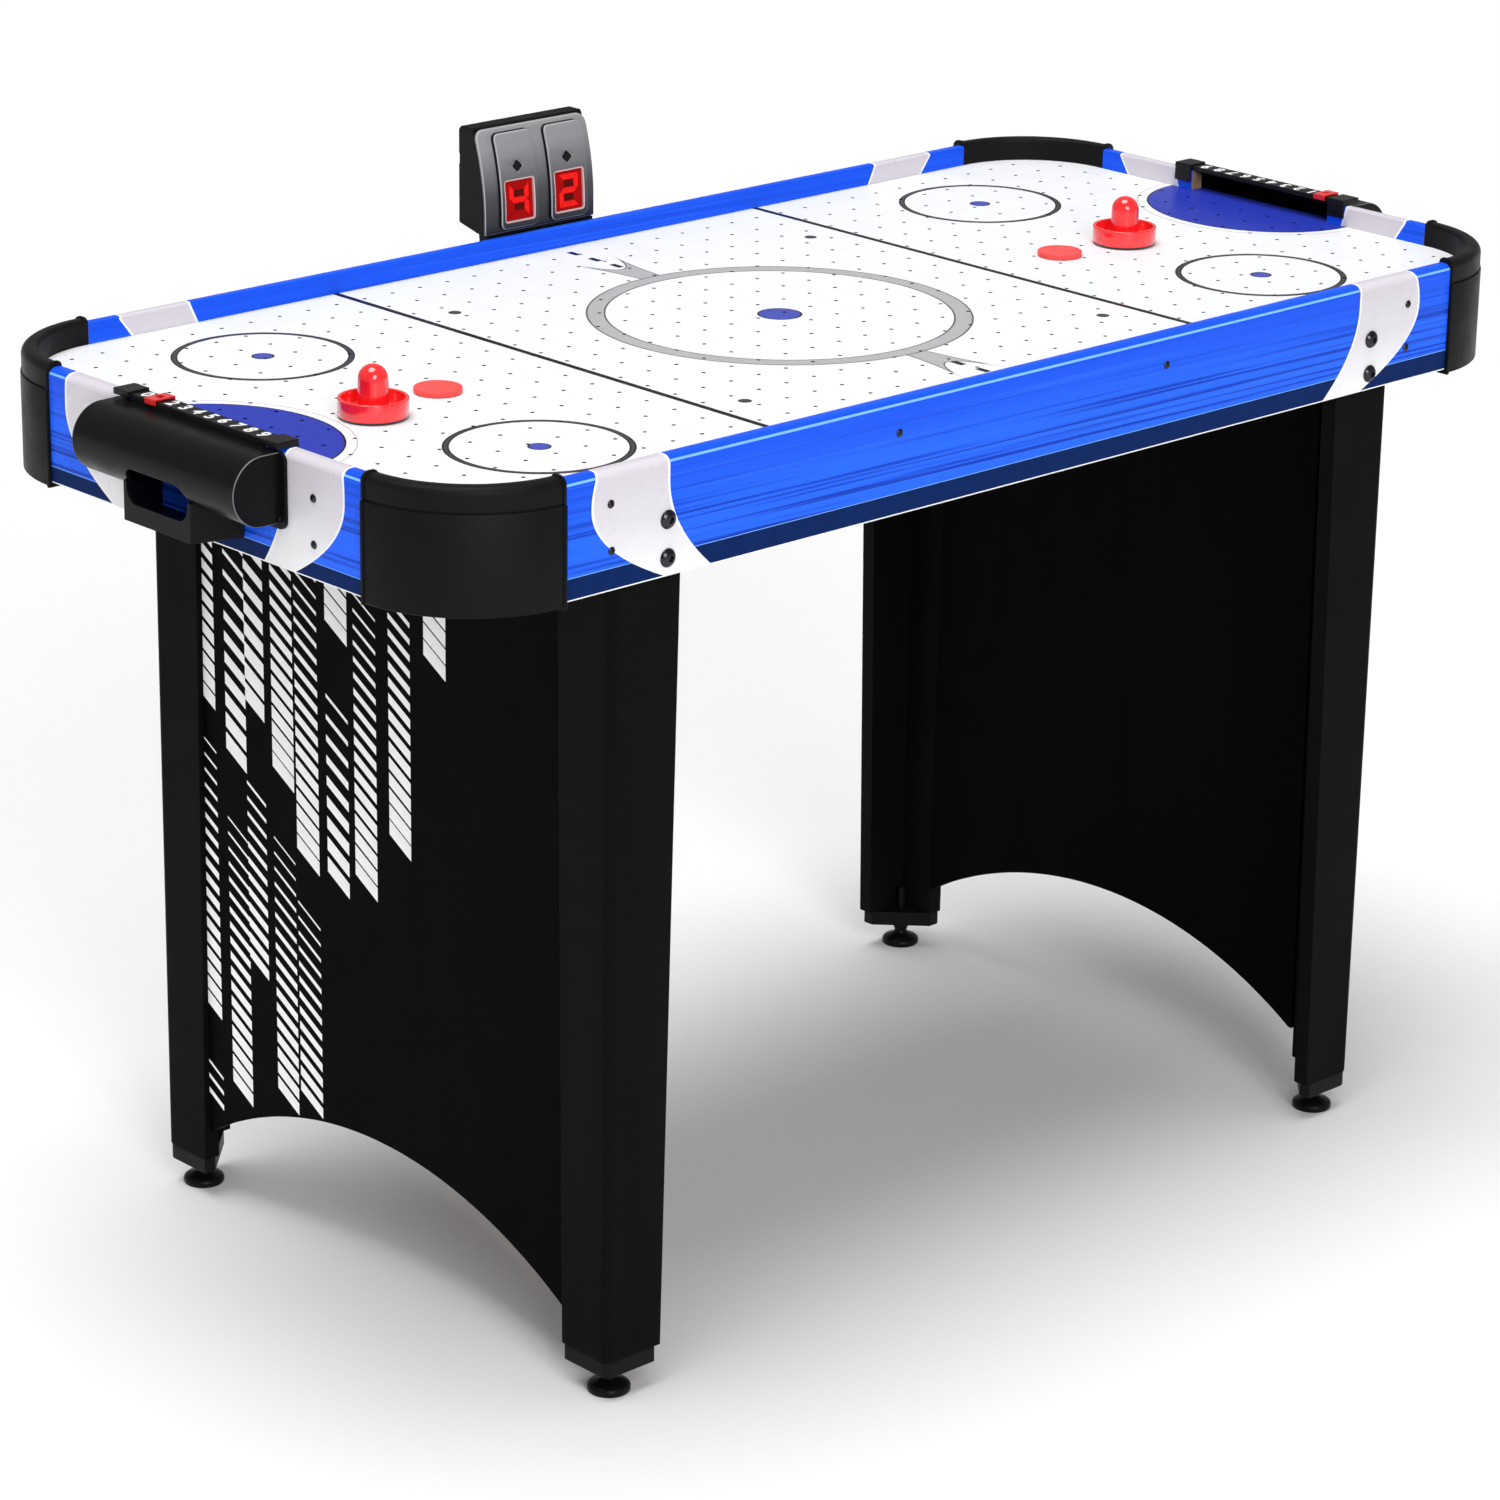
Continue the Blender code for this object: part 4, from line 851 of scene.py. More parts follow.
def build_playfield():
    marks = all_markings()
    loops = [field_outline(0.0, 16)]
    loops += [circle(centre, HOLE_RADIUS, HOLE_SIDES) for centre in hole_centres()]
    for mark in marks:
        loops += mark.loops
    points, faces = triangles(loops)
    groups = {"field": []}
    for face in faces:
        centre = middle([points[index] for index in face])
        if not inside_field(centre) or (in_hole(centre)
                                        and inside_field(centre, HOLE_MARGIN)):
            continue
        groups["field"].append(list(face))
        inks = [found for found in (mark.ink_at(centre) for mark in marks) if found]
        if inks:
            groups.setdefault(inks[0], []).append(list(face))
    build_field_board(points, groups.pop("field"))
    for name, (_, _, _, slot) in FIELD_INKS.items():
        bm = solid_from(points, groups[name],
                        lambda point: Vector((*point, FIELD_TOP + PRINT_THICKNESS)),
                        lambda point: Vector((*point, FIELD_TOP - PRINT_THICKNESS)))
        mesh = to_mesh(bm, [PRINTS[name]])
        piece(f"field_print_{name}", mesh, "table", slot)


def build_field_board(points, faces):
    """The playing surface with its air holes sunk into it."""
    bm = bmesh.new()
    used = sorted({index for face in faces for index in face})
    verts = {index: bm.verts.new((*points[index], FIELD_TOP)) for index in used}
    for face in faces:
        bm.faces.new([verts[index] for index in face])
    rims = [edge for edge in bm.edges if edge.is_boundary]
    grown = bmesh.ops.extrude_edge_only(bm, edges=rims)["geom"]
    for vert in [item for item in grown if isinstance(item, bmesh.types.BMVert)]:
        sunk = from_hole(vert.co.xy).length < HOLE_REACH
        vert.co.z = FIELD_TOP - HOLE_DEPTH if sunk else FIELD_BOTTOM
    bmesh.ops.holes_fill(bm, edges=[edge for edge in bm.edges if edge.is_boundary], sides=0)
    # The holes' sunk walls and floors take the near-black finish: painted shade inside the holes.
    for face in bm.faces:
        centre = face.calc_center_median()
        low = centre.z < FIELD_TOP - 0.1 * MM
        small = len(face.verts) < HOLE_FLOOR_SIDES
        if low and small and from_hole(centre.xy).length < HOLE_REACH:
            face.material_index = 1
    mesh = to_mesh(bm, [WHITE_FIELD, HOLE_PAINTED_SHADE])
    piece("field_board", mesh, "table", "white_laminate", ["playfield"])


# ---- rails -------------------------------------------------------------------

LINE_WIDTH = 2.2 * MM
NAVY_SIDE = 700 * MM
NAVY_END = 696 * MM
FOOT_LINE = 1.3 * MM
# Angles in degrees round the rail's outer top rounding between which the pale finish lays a
# painted highlight.
HIGHLIGHT_FROM = 17
HIGHLIGHT_TO = 33


class Patch(NamedTuple):
    """A white patch on a rail: how far from the middle its two edges are, by height."""

    outer: float
    outer_bend: float
    outer_crown: float
    outer_height: float
    inner: float
    inner_bend: float
    inner_height: float

    def edges(self, height):
        away = height - self.outer_height
        bend = self.outer_bend if away < 0 else self.outer_crown
        outer = self.outer - bend * away ** 2
        away = min(0.0, height - self.inner_height)
        return self.inner - self.inner_bend * away ** 2, outer


FRONT_LEFT = Patch(479 * MM, 17.5, 8.0, 748 * MM, 401 * MM, 7.6, 758 * MM)
FRONT_RIGHT = Patch(465 * MM, 17.5, 8.0, 748 * MM, 386 * MM, 7.6, 758 * MM)
END_PATCH = Patch(174 * MM, 13.5, 2.0, 750 * MM, 103 * MM, 4.8, 758 * MM)

# The pale finish is both a printed pinstripe and a painted highlight on the rounded top edge.
BLUE, NAVY, WHITE, LINE, PALE, RAW, CREASE_BLUE = range(7)
RAIL_FINISHES = [RAIL_BLUE, RAIL_NAVY, RAIL_WHITE_SHADED, RAIL_LINE, RAIL_PALE_LINE_AND_HIGHLIGHT, RAW_BOARD,
                 PRINTS["blue"]]
HAIRLINE = 0.5 * MM


def rail_profile(navy_top):
    """Points (depth, height) round a rail's section from its outer foot, and the finish of
    the strip that follows each point."""
    foot = 0.6 * MM
    rows = [((foot, RAIL_BOTTOM), LINE), ((0.0, RAIL_BOTTOM + foot), LINE),
            ((0.0, RAIL_BOTTOM + FOOT_LINE), NAVY)]
    shoulder = RAIL_TOP - RAIL_ROUND_OUT
    steps = 3
    for step in range(1, steps):
        height = RAIL_BOTTOM + (navy_top - RAIL_BOTTOM) * step / steps
        rows.append(((0.0, height), NAVY))
    rows.append(((0.0, navy_top), PALE))
    start = navy_top + HAIRLINE
    steps = 14
    for step in range(steps):
        rows.append(((0.0, start + (shoulder - start) * step / steps), BLUE))
    centre = (RAIL_ROUND_OUT, shoulder)
    # From 17 to 33 degrees round the outer rounding the strip takes the pale finish: a painted
    # highlight along the edge.
    for angle in (0, 8, HIGHLIGHT_FROM, HIGHLIGHT_TO, 45, 56, 67, 78, 90):
        radians = math.radians(angle)
        point = (centre[0] - RAIL_ROUND_OUT * math.cos(radians),
                 centre[1] + RAIL_ROUND_OUT * math.sin(radians))
        rows.append((point, PALE if angle == HIGHLIGHT_FROM else BLUE))
    inner = arc((RAIL_THICKNESS - RAIL_ROUND_IN, RAIL_TOP - RAIL_ROUND_IN), RAIL_ROUND_IN,
                90, 0, 4)
    rows += [(point, BLUE) for point in inner]
    rows += [((RAIL_THICKNESS, RAIL_BOTTOM + foot), RAW),
             ((RAIL_THICKNESS - foot, RAIL_BOTTOM), RAW)]
    return rows


def rail_mesh(half, navy_top, patches, place):
    """A rail as a grid of strips whose joints follow the printed patches' edges."""
    rows = rail_profile(navy_top)
    columns = []
    for (depth, height), _ in rows:
        stops = [-half]
        for sign, patch in ((-1, patches[0]), (1, patches[1])):
            inner, outer = patch.edges(height)
            pair = [(outer, outer - LINE_WIDTH), (inner + LINE_WIDTH, inner)]
            found = [sign * stop for couple in pair for stop in couple]
            stops += found if sign < 0 else list(reversed(found))
        stops.append(half)
        columns.append([place(stop, depth, height) for stop in stops])
    bands = [None, LINE, WHITE, LINE, None, LINE, WHITE, LINE, None]
    bm = bmesh.new()
    grid = [[bm.verts.new(point) for point in column] for column in columns]
    count = len(grid)
    for row in range(count):
        after = (row + 1) % count
        own = rows[row][1]
        for column, band in enumerate(bands):
            face = bm.faces.new((grid[row][column], grid[row][column + 1],
                                 grid[after][column + 1], grid[after][column]))
            covered = band is not None and own not in (LINE, RAW)
            face.material_index = band if covered else own
    for column in (0, -1):
        face = bm.faces.new([line[column] for line in grid])
        face.material_index = RAW
    return to_mesh(bm, RAIL_FINISHES, 30)


def bored_rail(mesh, radius, centre):
    """Bore a hole across a side rail, showing raw board inside it."""
    hole = rod_bmesh(radius + GAP, THROUGH, BORE_SIDES, centre, "Y")
    return boolean(mesh, hole, finish_index=RAW, smooth_angle=30)


def build_side_rails():
    for row, sign in ROWS.items():
        def place(along, depth, height, sign=sign):
            return Vector((along, sign * (HALF_WIDTH - depth), height))

        mesh = rail_mesh(SIDE_RAIL_HALF, NAVY_SIDE,
                         (FRONT_LEFT, FRONT_RIGHT), place)
        for side in SIDES.values():
            for height in BOLT_HEIGHTS:
                mesh = bored_rail(mesh, BOLT_RADIUS, (side * BOLT_X, sign * HALF_WIDTH, height))
        if row == "back":
            mesh = bored_rail(mesh, SOCKET_RADIUS, (SOCKET_X, HALF_WIDTH, SOCKET_HEIGHT))
        stand_in(f"side_rail_{row}", mesh, "blue_laminate", ending="printed")


def build_end_rails():
    for name, side in SIDES.items():
        def place(along, depth, height, side=side):
            return Vector((side * (HALF_LENGTH - depth), along, height))

        mesh = rail_mesh(END_RAIL_HALF, NAVY_END,
                         (END_PATCH, END_PATCH), place)
        low = (side * HALF_LENGTH - THROUGH / 2, -GOAL_HALF, FIELD_TOP)
        high = (side * HALF_LENGTH + THROUGH / 2, GOAL_HALF, RAIL_TOP + THROUGH)
        mesh = boolean(mesh, box_bmesh(low, high), finish_index=RAW, smooth_angle=30)
        for polygon in mesh.polygons:
            if polygon.normal.z > 0.9 and abs(polygon.center.z - FIELD_TOP) < 0.1 * MM:
                polygon.material_index = CREASE_BLUE
        stand_in(f"end_rail_{name}", mesh, "blue_laminate", ending="printed")


# ---- corner caps -------------------------------------------------------------

CAP_PROUD = 2 * MM
CAP_TOP = 779 * MM
CAP_BOTTOM = 679.5 * MM
CAP_LEDGE = 759 * MM
CAP_ROUND_OUT = 7 * MM
CAP_ROUND_IN = 4 * MM
CAP_STEP = 1 * MM
CAP_SEGMENTS = 30
COLLAR_LENGTH = 3 * MM
COLLAR_PROUD = 1.2 * MM
COLLAR_EASE = 0.5 * MM


def cap_section(grow):
    """Corner cap's cross-section as (radius, height); grow swells its outside."""
    inner = CORNER_RADIUS - RAIL_THICKNESS
    outer = CORNER_RADIUS + CAP_PROUD + grow
    band = outer - CAP_STEP
    top = CAP_TOP + grow
    foot = CAP_BOTTOM - grow
    lip = 0.35 * MM
    section = [(inner, foot), (inner, CAP_TOP - CAP_ROUND_IN)]
    section += arc((inner + CAP_ROUND_IN, top - CAP_ROUND_IN), CAP_ROUND_IN, 180, 90, 6)
    section += arc((band - CAP_ROUND_OUT, top - CAP_ROUND_OUT), CAP_ROUND_OUT, 90, 0, 10)
    section += [(band, CAP_LEDGE + 1.1 * MM), (band - 0.8 * MM, CAP_LEDGE + 0.6 * MM),
                (band - 0.8 * MM, CAP_LEDGE - 0.2 * MM),
                (outer - lip, CAP_LEDGE - CAP_STEP + lip), (outer, CAP_LEDGE - CAP_STEP - lip),
                (outer, foot + 2 * lip), (outer - 2 * lip, foot)]
    return section


def cap_ring(section, angle, advance):
    """The section stood at an angle round the corner, moved on past the arc's end."""
    out = Vector((math.cos(angle), math.sin(angle), 0))
    along = Vector((-math.sin(angle), math.cos(angle), 0))
    return [out * radius + along * advance + Vector((0, 0, height))
            for radius, height in section]


def build_corner_caps():
    body = cap_section(0.0)
    rim = cap_section(COLLAR_PROUD - COLLAR_EASE)
    collar = cap_section(COLLAR_PROUD)
    turn = math.radians(90)
    near = [(rim, -COLLAR_LENGTH), (collar, COLLAR_EASE - COLLAR_LENGTH),
            (collar, -COLLAR_EASE), (rim, 0.0)]
    rings = [cap_ring(section, 0.0, advance) for section, advance in near]
    rings += [cap_ring(body, turn * step / CAP_SEGMENTS, 0.0)
              for step in range(CAP_SEGMENTS + 1)]
    rings += [cap_ring(section, turn, -advance) for section, advance in reversed(near)]
    for corner, side, sign in CORNERS:
        centre = Vector((side * (HALF_LENGTH - CORNER_RADIUS),
                         sign * (HALF_WIDTH - CORNER_RADIUS), 0))
        placed = [[Vector((side * point.x, sign * point.y, point.z)) + centre
                   for point in ring] for ring in rings]
        mesh = to_mesh(lofted_bmesh(placed), [BLACK_PLASTIC], 38)
        stand_in(f"corner_cap_{corner}", mesh, "black_plastic")


# ---- goals -------------------------------------------------------------------

GOAL_HALF = 82 * MM
BOX_HALF = 101 * MM
BOX_TOP = 774 * MM
BOX_RADIUS = 27.5 * MM
BOX_REACH = 46.5 * MM
BOX_WALL = 2.5 * MM
FLANGE_HALF = 107 * MM
FLANGE_BOTTOM = 714 * MM
FLANGE_THICKNESS = 3 * MM
FLANGE_ROUND = 7 * MM
TRAY_BACK_HALF = 54 * MM
TRAY_FRONT_HALF = 42 * MM
TRAY_REACH = 42 * MM
TRAY_TOP = 728 * MM
TRAY_BOTTOM = 696 * MM
WINDOW_HALF = 38 * MM
WINDOW_LOW = 711 * MM
WINDOW_HIGH = 740 * MM
WINDOW_ROUND = 12 * MM

BAR_HALF = 102 * MM
BAR_BLOCK = 19 * MM
BLOCK_PROUD = 2.4 * MM
BAR_INNER = HALF_LENGTH - 12.7 * MM
BAR_OUTER = HALF_LENGTH + 3.5 * MM
BAR_TOP = 780 * MM
BAR_BOTTOM = RAIL_TOP + GAP
BLOCK_TOP = 781.5 * MM
BLOCK_FOOT = 765 * MM
DIGIT_PITCH = 16 * MM
DIGIT_FIRST = -4.5 * DIGIT_PITCH
DIGIT_SIZE = 16 * MM
CLIP_HALF = 6.5 * MM
CLIP_WALL = 1.6 * MM
CLIP_SLACK = 0.4 * MM
CLIP_BORDER = 2.5 * MM
CLIP_SKIRT = 777.2 * MM
SCORES = {"left": 1, "right": 0}


def end_turn(name):
    """Goal pieces are drawn for the right end and turned about for the left one."""
    return math.pi if name == "left" else 0.0


def at_both_ends(node, mesh):
    """Show a moulding at both goals, in place of the CAD nodes there."""
    for name in SIDES:
        stand_in(f"{node}_{name}", mesh.copy(), "black_plastic",
                 turn=end_turn(name), even=True)


def barrel_outline(shrink, back):
    """D-shaped side view (x, z) of the puck box, inset by a wall thickness."""
    radius = BOX_RADIUS - shrink
    centre = (HALF_LENGTH + GAP + BOX_REACH - BOX_RADIUS, BOX_TOP - BOX_RADIUS)
    outline = [(back, BOX_TOP - shrink)]
    outline += arc(centre, radius, 90, -90, 32)
    outline += [(back, BOX_TOP - 2 * BOX_RADIUS + shrink)]
    return outline


def tray_bmesh(shrink, back):
    """The scoop below the barrel: wide at the rail and narrower at its lip."""
    front = HALF_LENGTH + GAP + TRAY_REACH - shrink
    wide = TRAY_BACK_HALF - shrink
    narrow = TRAY_FRONT_HALF - shrink
    plan = [(back, -wide), (front, -narrow), (front, narrow), (back, wide)]
    bottom = TRAY_BOTTOM + shrink
    return slab_bmesh(plan, "Z", bottom, TRAY_TOP - bottom)


def build_goal_boxes():
    face = HALF_LENGTH + GAP
    behind = HALF_LENGTH - RAIL_THICKNESS
    plate = rounded_rectangle((-FLANGE_HALF, FLANGE_BOTTOM), (FLANGE_HALF, BOX_TOP),
                              FLANGE_ROUND, 8)
    flange = eased(slab_bmesh(plate, "X", face, FLANGE_THICKNESS), 0.5 * MM)
    mesh = to_mesh(flange, [BLACK_SMOOTH])
    outline = barrel_outline(0.0, face + 1 * MM)
    barrel = eased(slab_bmesh(outline, "Y", -BOX_HALF, 2 * BOX_HALF), 1.0 * MM, 3)
    mesh = boolean(mesh, barrel, "UNION")
    mesh = boolean(mesh, eased(tray_bmesh(0.0, face + 0.5 * MM), 0.8 * MM), "UNION")
    inner_half = BOX_HALF - BOX_WALL
    hollow = barrel_outline(BOX_WALL, behind)
    mesh = boolean(mesh, slab_bmesh(hollow, "Y", -inner_half, 2 * inner_half))
    mesh = boolean(mesh, tray_bmesh(BOX_WALL, behind))
    window = rounded_rectangle((-WINDOW_HALF, WINDOW_LOW), (WINDOW_HALF, WINDOW_HIGH),
                               WINDOW_ROUND, 8)
    start = HALF_LENGTH + BOX_REACH / 2
    mesh = boolean(mesh, slab_bmesh(window, "X", start, THROUGH))
    # The slanted faces of the rounded edge round each barrel end take the lighter grey: a painted
    # highlight.
    mesh.materials.append(EDGE_PAINTED_HIGHLIGHT)
    for polygon in mesh.polygons:
        beside = BOX_HALF - 1.05 * MM < abs(polygon.center.y) < BOX_HALF + 0.01 * MM
        slanted = 0.25 < abs(polygon.normal.y) < 0.95
        if beside and slanted and polygon.center.x > face + FLANGE_THICKNESS + 1 * MM:
            polygon.material_index = 1
    at_both_ends("goal_box", mesh)


def build_score_bars():
    low = (BAR_INNER, BLOCK_PROUD - BAR_HALF, BAR_BOTTOM)
    high = (BAR_OUTER, BAR_HALF - BLOCK_PROUD, BAR_TOP)
    mesh = to_mesh(eased(box_bmesh(low, high), 0.5 * MM), [DARK_TRIM_AND_FLANK_SHADE])
    for end in (-1, 1):
        low_y, high_y = sorted((end * (BAR_HALF - BAR_BLOCK), end * BAR_HALF))
        inner = BAR_INNER - BLOCK_PROUD
        head = box_bmesh((inner, low_y, BAR_BOTTOM), (BAR_OUTER + BLOCK_PROUD, high_y, BLOCK_TOP))
        mesh = boolean(mesh, eased(head, 0.8 * MM), "UNION")
        toe = box_bmesh((inner, low_y, BLOCK_FOOT),
                        (HALF_LENGTH - RAIL_THICKNESS - GAP, high_y, BAR_TOP))
        mesh = boolean(mesh, eased(toe, 0.6 * MM), "UNION")
    lip = box_bmesh((HALF_LENGTH + 1.5 * GAP, BAR_BLOCK - BAR_HALF, BOX_TOP + GAP),
                    (BAR_OUTER, BAR_HALF - BAR_BLOCK, BAR_BOTTOM + 1 * MM))
    mesh = boolean(mesh, lip, "UNION")
    for index in range(11):
        middle_y = DIGIT_FIRST + (index - 0.5) * DIGIT_PITCH
        groove = box_bmesh((BAR_INNER - 1 * MM, middle_y - 0.4 * MM, BAR_TOP - 0.5 * MM),
                           (BAR_OUTER + 1 * MM, middle_y + 0.4 * MM, BAR_TOP + 1 * MM))
        mesh = boolean(mesh, groove)
    at_both_ends("score_bar", mesh)


def digit_bmesh(bm, text, place):
    """Add one raised digit to a mesh, in the XY plane, placed by a matrix."""
    curve = bpy.data.curves.new("digit", "FONT")
    curve.body = text
    curve.size = DIGIT_SIZE
    curve.align_x = "CENTER"
    curve.align_y = "CENTER"
    curve.offset = 0.5 * MM
    curve.extrude = 0.12 * MM
    curve.resolution_u = 4
    obj = add_object("digit", curve)
    shown = obj.evaluated_get(bpy.context.evaluated_depsgraph_get())
    mesh = bpy.data.meshes.new_from_object(shown)
    mesh.transform(place)
    bm.from_mesh(mesh)
    bpy.data.objects.remove(obj)
    bpy.data.curves.remove(curve)
    bpy.data.meshes.remove(mesh)


def build_score_digits():
    bm = bmesh.new()
    across = (BAR_INNER + BAR_OUTER) / 2
    for digit in range(10):
        place = (across, DIGIT_FIRST + digit * DIGIT_PITCH, BAR_TOP)
        digit_bmesh(bm, str(digit), stood(place, "Z", 90))
    bmesh.ops.remove_doubles(bm, verts=bm.verts, dist=WELD)
    mesh = to_mesh(bm, [DIGIT_WHITE])
    for name in SIDES:
        piece(f"score_digits_{name}", mesh.copy(), "table", "white_laminate",
              turn=end_turn(name))


def build_score_sliders():
    for name, score in SCORES.items():
        inner = BAR_INNER - CLIP_SLACK
        outer = BAR_OUTER + CLIP_SLACK
        roof = BAR_TOP + CLIP_SLACK
        outline = [(inner - CLIP_WALL, CLIP_SKIRT), (inner, CLIP_SKIRT), (inner, roof),
                   (outer, roof), (outer, CLIP_SKIRT), (outer + CLIP_WALL, CLIP_SKIRT),
                   (outer + CLIP_WALL, roof + CLIP_WALL),
                   (inner - CLIP_WALL, roof + CLIP_WALL)]
        centre = DIGIT_FIRST + score * DIGIT_PITCH
        bm = slab_bmesh(outline, "Y", centre - CLIP_HALF, 2 * CLIP_HALF)
        mesh = to_mesh(eased(bm, 0.35 * MM), [RED_CLIP])
        half = CLIP_HALF - CLIP_BORDER
        window = rounded_rectangle((BAR_INNER + 2 * CLIP_BORDER, centre - half),
                                   (BAR_OUTER - 2 * CLIP_BORDER, centre + half), 1 * MM, 4)
        mesh = boolean(mesh, slab_bmesh(window, "Z", roof - CLIP_WALL, THROUGH))
        stand_in(f"score_slider_{name}", mesh, "red_plastic", f"slider_{name}",
                 turn=end_turn(name), even=True)


# ---- legs, feet and end panels -----------------------------------------------

LEG_X = 447 * MM
LEG_Y = HALF_WIDTH - RAIL_THICKNESS - 0.5 * MM
LEG_BOTTOM, LEG_TOP = (corner.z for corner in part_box("leg_front_left"))
LEG_BOARD = 15 * MM
LEG_RADIUS = 8 * MM
SIDE_WIDTH_TOP = 71 * MM
SIDE_WIDTH_BOTTOM = 57 * MM
END_WIDTH_TOP = 62 * MM
END_WIDTH_BOTTOM = 54 * MM
BRACKET_BOTTOM = 22 * MM
BRACKET_SPAN = 52 * MM
BRACKET_END = 12 * MM
BRACKET_INSET = 1 * MM
BRACKET_HOLE = 4.4 * MM
FOOT_INSET = 22 * MM
FOOT_RADIUS = 17.5 * MM
FOOT_STEM = 4 * MM
FOOT_STEM_TOP = 58 * MM

PANEL_RECESS = 5 * MM
PANEL_THICKNESS = 12 * MM
PANEL_BOTTOM = 64 * MM
ARCH_HALF = 228 * MM
ARCH_RISE = 66 * MM

BOLT_X = 403 * MM
BOLT_HEIGHTS = (697 * MM, 727 * MM)
BOLT_RADIUS = 3 * MM
BOLT_HEAD_RADIUS = 7.5 * MM
BOLT_HEAD_HEIGHT = 4 * MM
BOLT_LENGTH = 38 * MM


def leg_outline(side_width, end_width):
    """L-shaped plan of a leg, from its outer corner at the origin into +X and +Y."""
    bend = arc((LEG_RADIUS, LEG_RADIUS), LEG_RADIUS, 180, 270, 10)
    return bend + [(side_width, 0), (side_width, LEG_BOARD), (LEG_BOARD, LEG_BOARD),
                   (LEG_BOARD, end_width), (0, end_width)]


def at_corner(outline, side, sign, height):
    """Place a corner plan at one of the four legs."""
    return [Vector((side * (LEG_X - first), sign * (LEG_Y - second), height))
            for first, second in outline]


def build_legs():
    top = leg_outline(SIDE_WIDTH_TOP, END_WIDTH_TOP)
    bottom = leg_outline(SIDE_WIDTH_BOTTOM, END_WIDTH_BOTTOM)
    for corner, side, sign in CORNERS:
        rings = [at_corner(bottom, side, sign, LEG_BOTTOM),
                 at_corner(top, side, sign, LEG_TOP)]
        mesh = to_mesh(eased(lofted_bmesh(rings), 0.7 * MM, 2, 45), [BLACK_LAMINATE])
        for height in BOLT_HEIGHTS:
            centre = (side * BOLT_X, sign * (LEG_Y - LEG_BOARD / 2), height)
            mesh = boolean(mesh, rod_bmesh(BOLT_RADIUS + GAP, THROUGH, BORE_SIDES, centre, "Y"))
        stand_in(f"leg_{corner}", mesh, "black_laminate", ending="faced", even=True)


def build_foot_brackets():
    start = BRACKET_INSET
    bend = arc((LEG_RADIUS, LEG_RADIUS), LEG_RADIUS - start, 180, 270, 10)
    plan = bend + [(BRACKET_SPAN, start), (BRACKET_SPAN, BRACKET_END),
                   (BRACKET_END, BRACKET_SPAN), (start, BRACKET_SPAN)]
    height = LEG_BOTTOM - GAP - BRACKET_BOTTOM
    for corner, side, sign in CORNERS:
        outline = at_corner(plan, side, sign, BRACKET_BOTTOM)
        bm = eased(extruded_bmesh(outline, (0, 0, height)), 1.0 * MM)
        mesh = to_mesh(bm, [BLACK_PLASTIC])
        centre = (side * (LEG_X - FOOT_INSET), sign * (LEG_Y - FOOT_INSET), LEG_BOTTOM)
        mesh = boolean(mesh, rod_bmesh(BRACKET_HOLE, THROUGH, 32, centre))
        stand_in(f"foot_bracket_{corner}", mesh, "black_plastic", even=True)


def build_leveling_feet():
    stem_foot = BRACKET_BOTTOM - 1 * MM
    profile = [(0, FOOT_STEM_TOP), (FOOT_STEM - 0.8 * MM, FOOT_STEM_TOP),
               (FOOT_STEM, FOOT_STEM_TOP - 1 * MM), (FOOT_STEM, stem_foot),
               (6.5 * MM, stem_foot - 0.2 * MM), (7 * MM, stem_foot - 0.8 * MM),
               (7 * MM, 16 * MM), (6 * MM, 15 * MM), (6 * MM, 12.5 * MM), (7 * MM, 11 * MM),
               (9.5 * MM, 9.4 * MM), (13 * MM, 8 * MM), (15.5 * MM, 6.8 * MM),
               (17 * MM, 5.4 * MM), (FOOT_RADIUS, 4 * MM), (FOOT_RADIUS, 1.2 * MM),
               (FOOT_RADIUS - 0.5 * MM, 0.3 * MM), (FOOT_RADIUS - 1.5 * MM, 0), (0, 0)]
    for corner, side, sign in CORNERS:
        mesh = to_mesh(turned_bmesh(profile, 48), [BLACK_SMOOTH])
        stand_in(f"leveling_foot_{corner}", mesh, "black_plastic",
                 f"foot_{corner}",
                 place=(side * (LEG_X - FOOT_INSET), sign * (LEG_Y - FOOT_INSET)))


def arch_height(across):
    """Height of the end panel's arched lower edge, at a distance from its middle."""
    radius = (ARCH_HALF ** 2 + ARCH_RISE ** 2) / (2 * ARCH_RISE)
    if abs(across) > ARCH_HALF:
        return PANEL_BOTTOM
    return PANEL_BOTTOM + ARCH_RISE - radius + math.sqrt(radius ** 2 - across ** 2)


def panel_half(height):
    """Half the width of an end panel, which fills the gap between the tapered legs."""
    share = (height - LEG_BOTTOM) / (LEG_TOP - LEG_BOTTOM)
    leg_width = END_WIDTH_BOTTOM + share * (END_WIDTH_TOP - END_WIDTH_BOTTOM)
    return LEG_Y - leg_width - GAP


def build_end_panels():
    steps = 64
    top = panel_half(LEG_TOP)
    foot = panel_half(PANEL_BOTTOM)
    outline = [(-top, LEG_TOP), (-foot, PANEL_BOTTOM)]
    for step in range(steps + 1):
        across = ARCH_HALF * (2 * step / steps - 1)
        outline.append((across, arch_height(across)))
    outline += [(foot, PANEL_BOTTOM), (top, LEG_TOP)]
    outer = LEG_X - PANEL_RECESS
    for name, side in SIDES.items():
        bm = slab_bmesh(outline, "X", side * outer, -side * PANEL_THICKNESS)
        mesh = to_mesh(eased(bm, 0.5 * MM, 2, 50), [PANEL_BLACK_SHADED])
        stand_in(f"end_panel_{name}", mesh, "black_laminate", ending="faced", even=True)


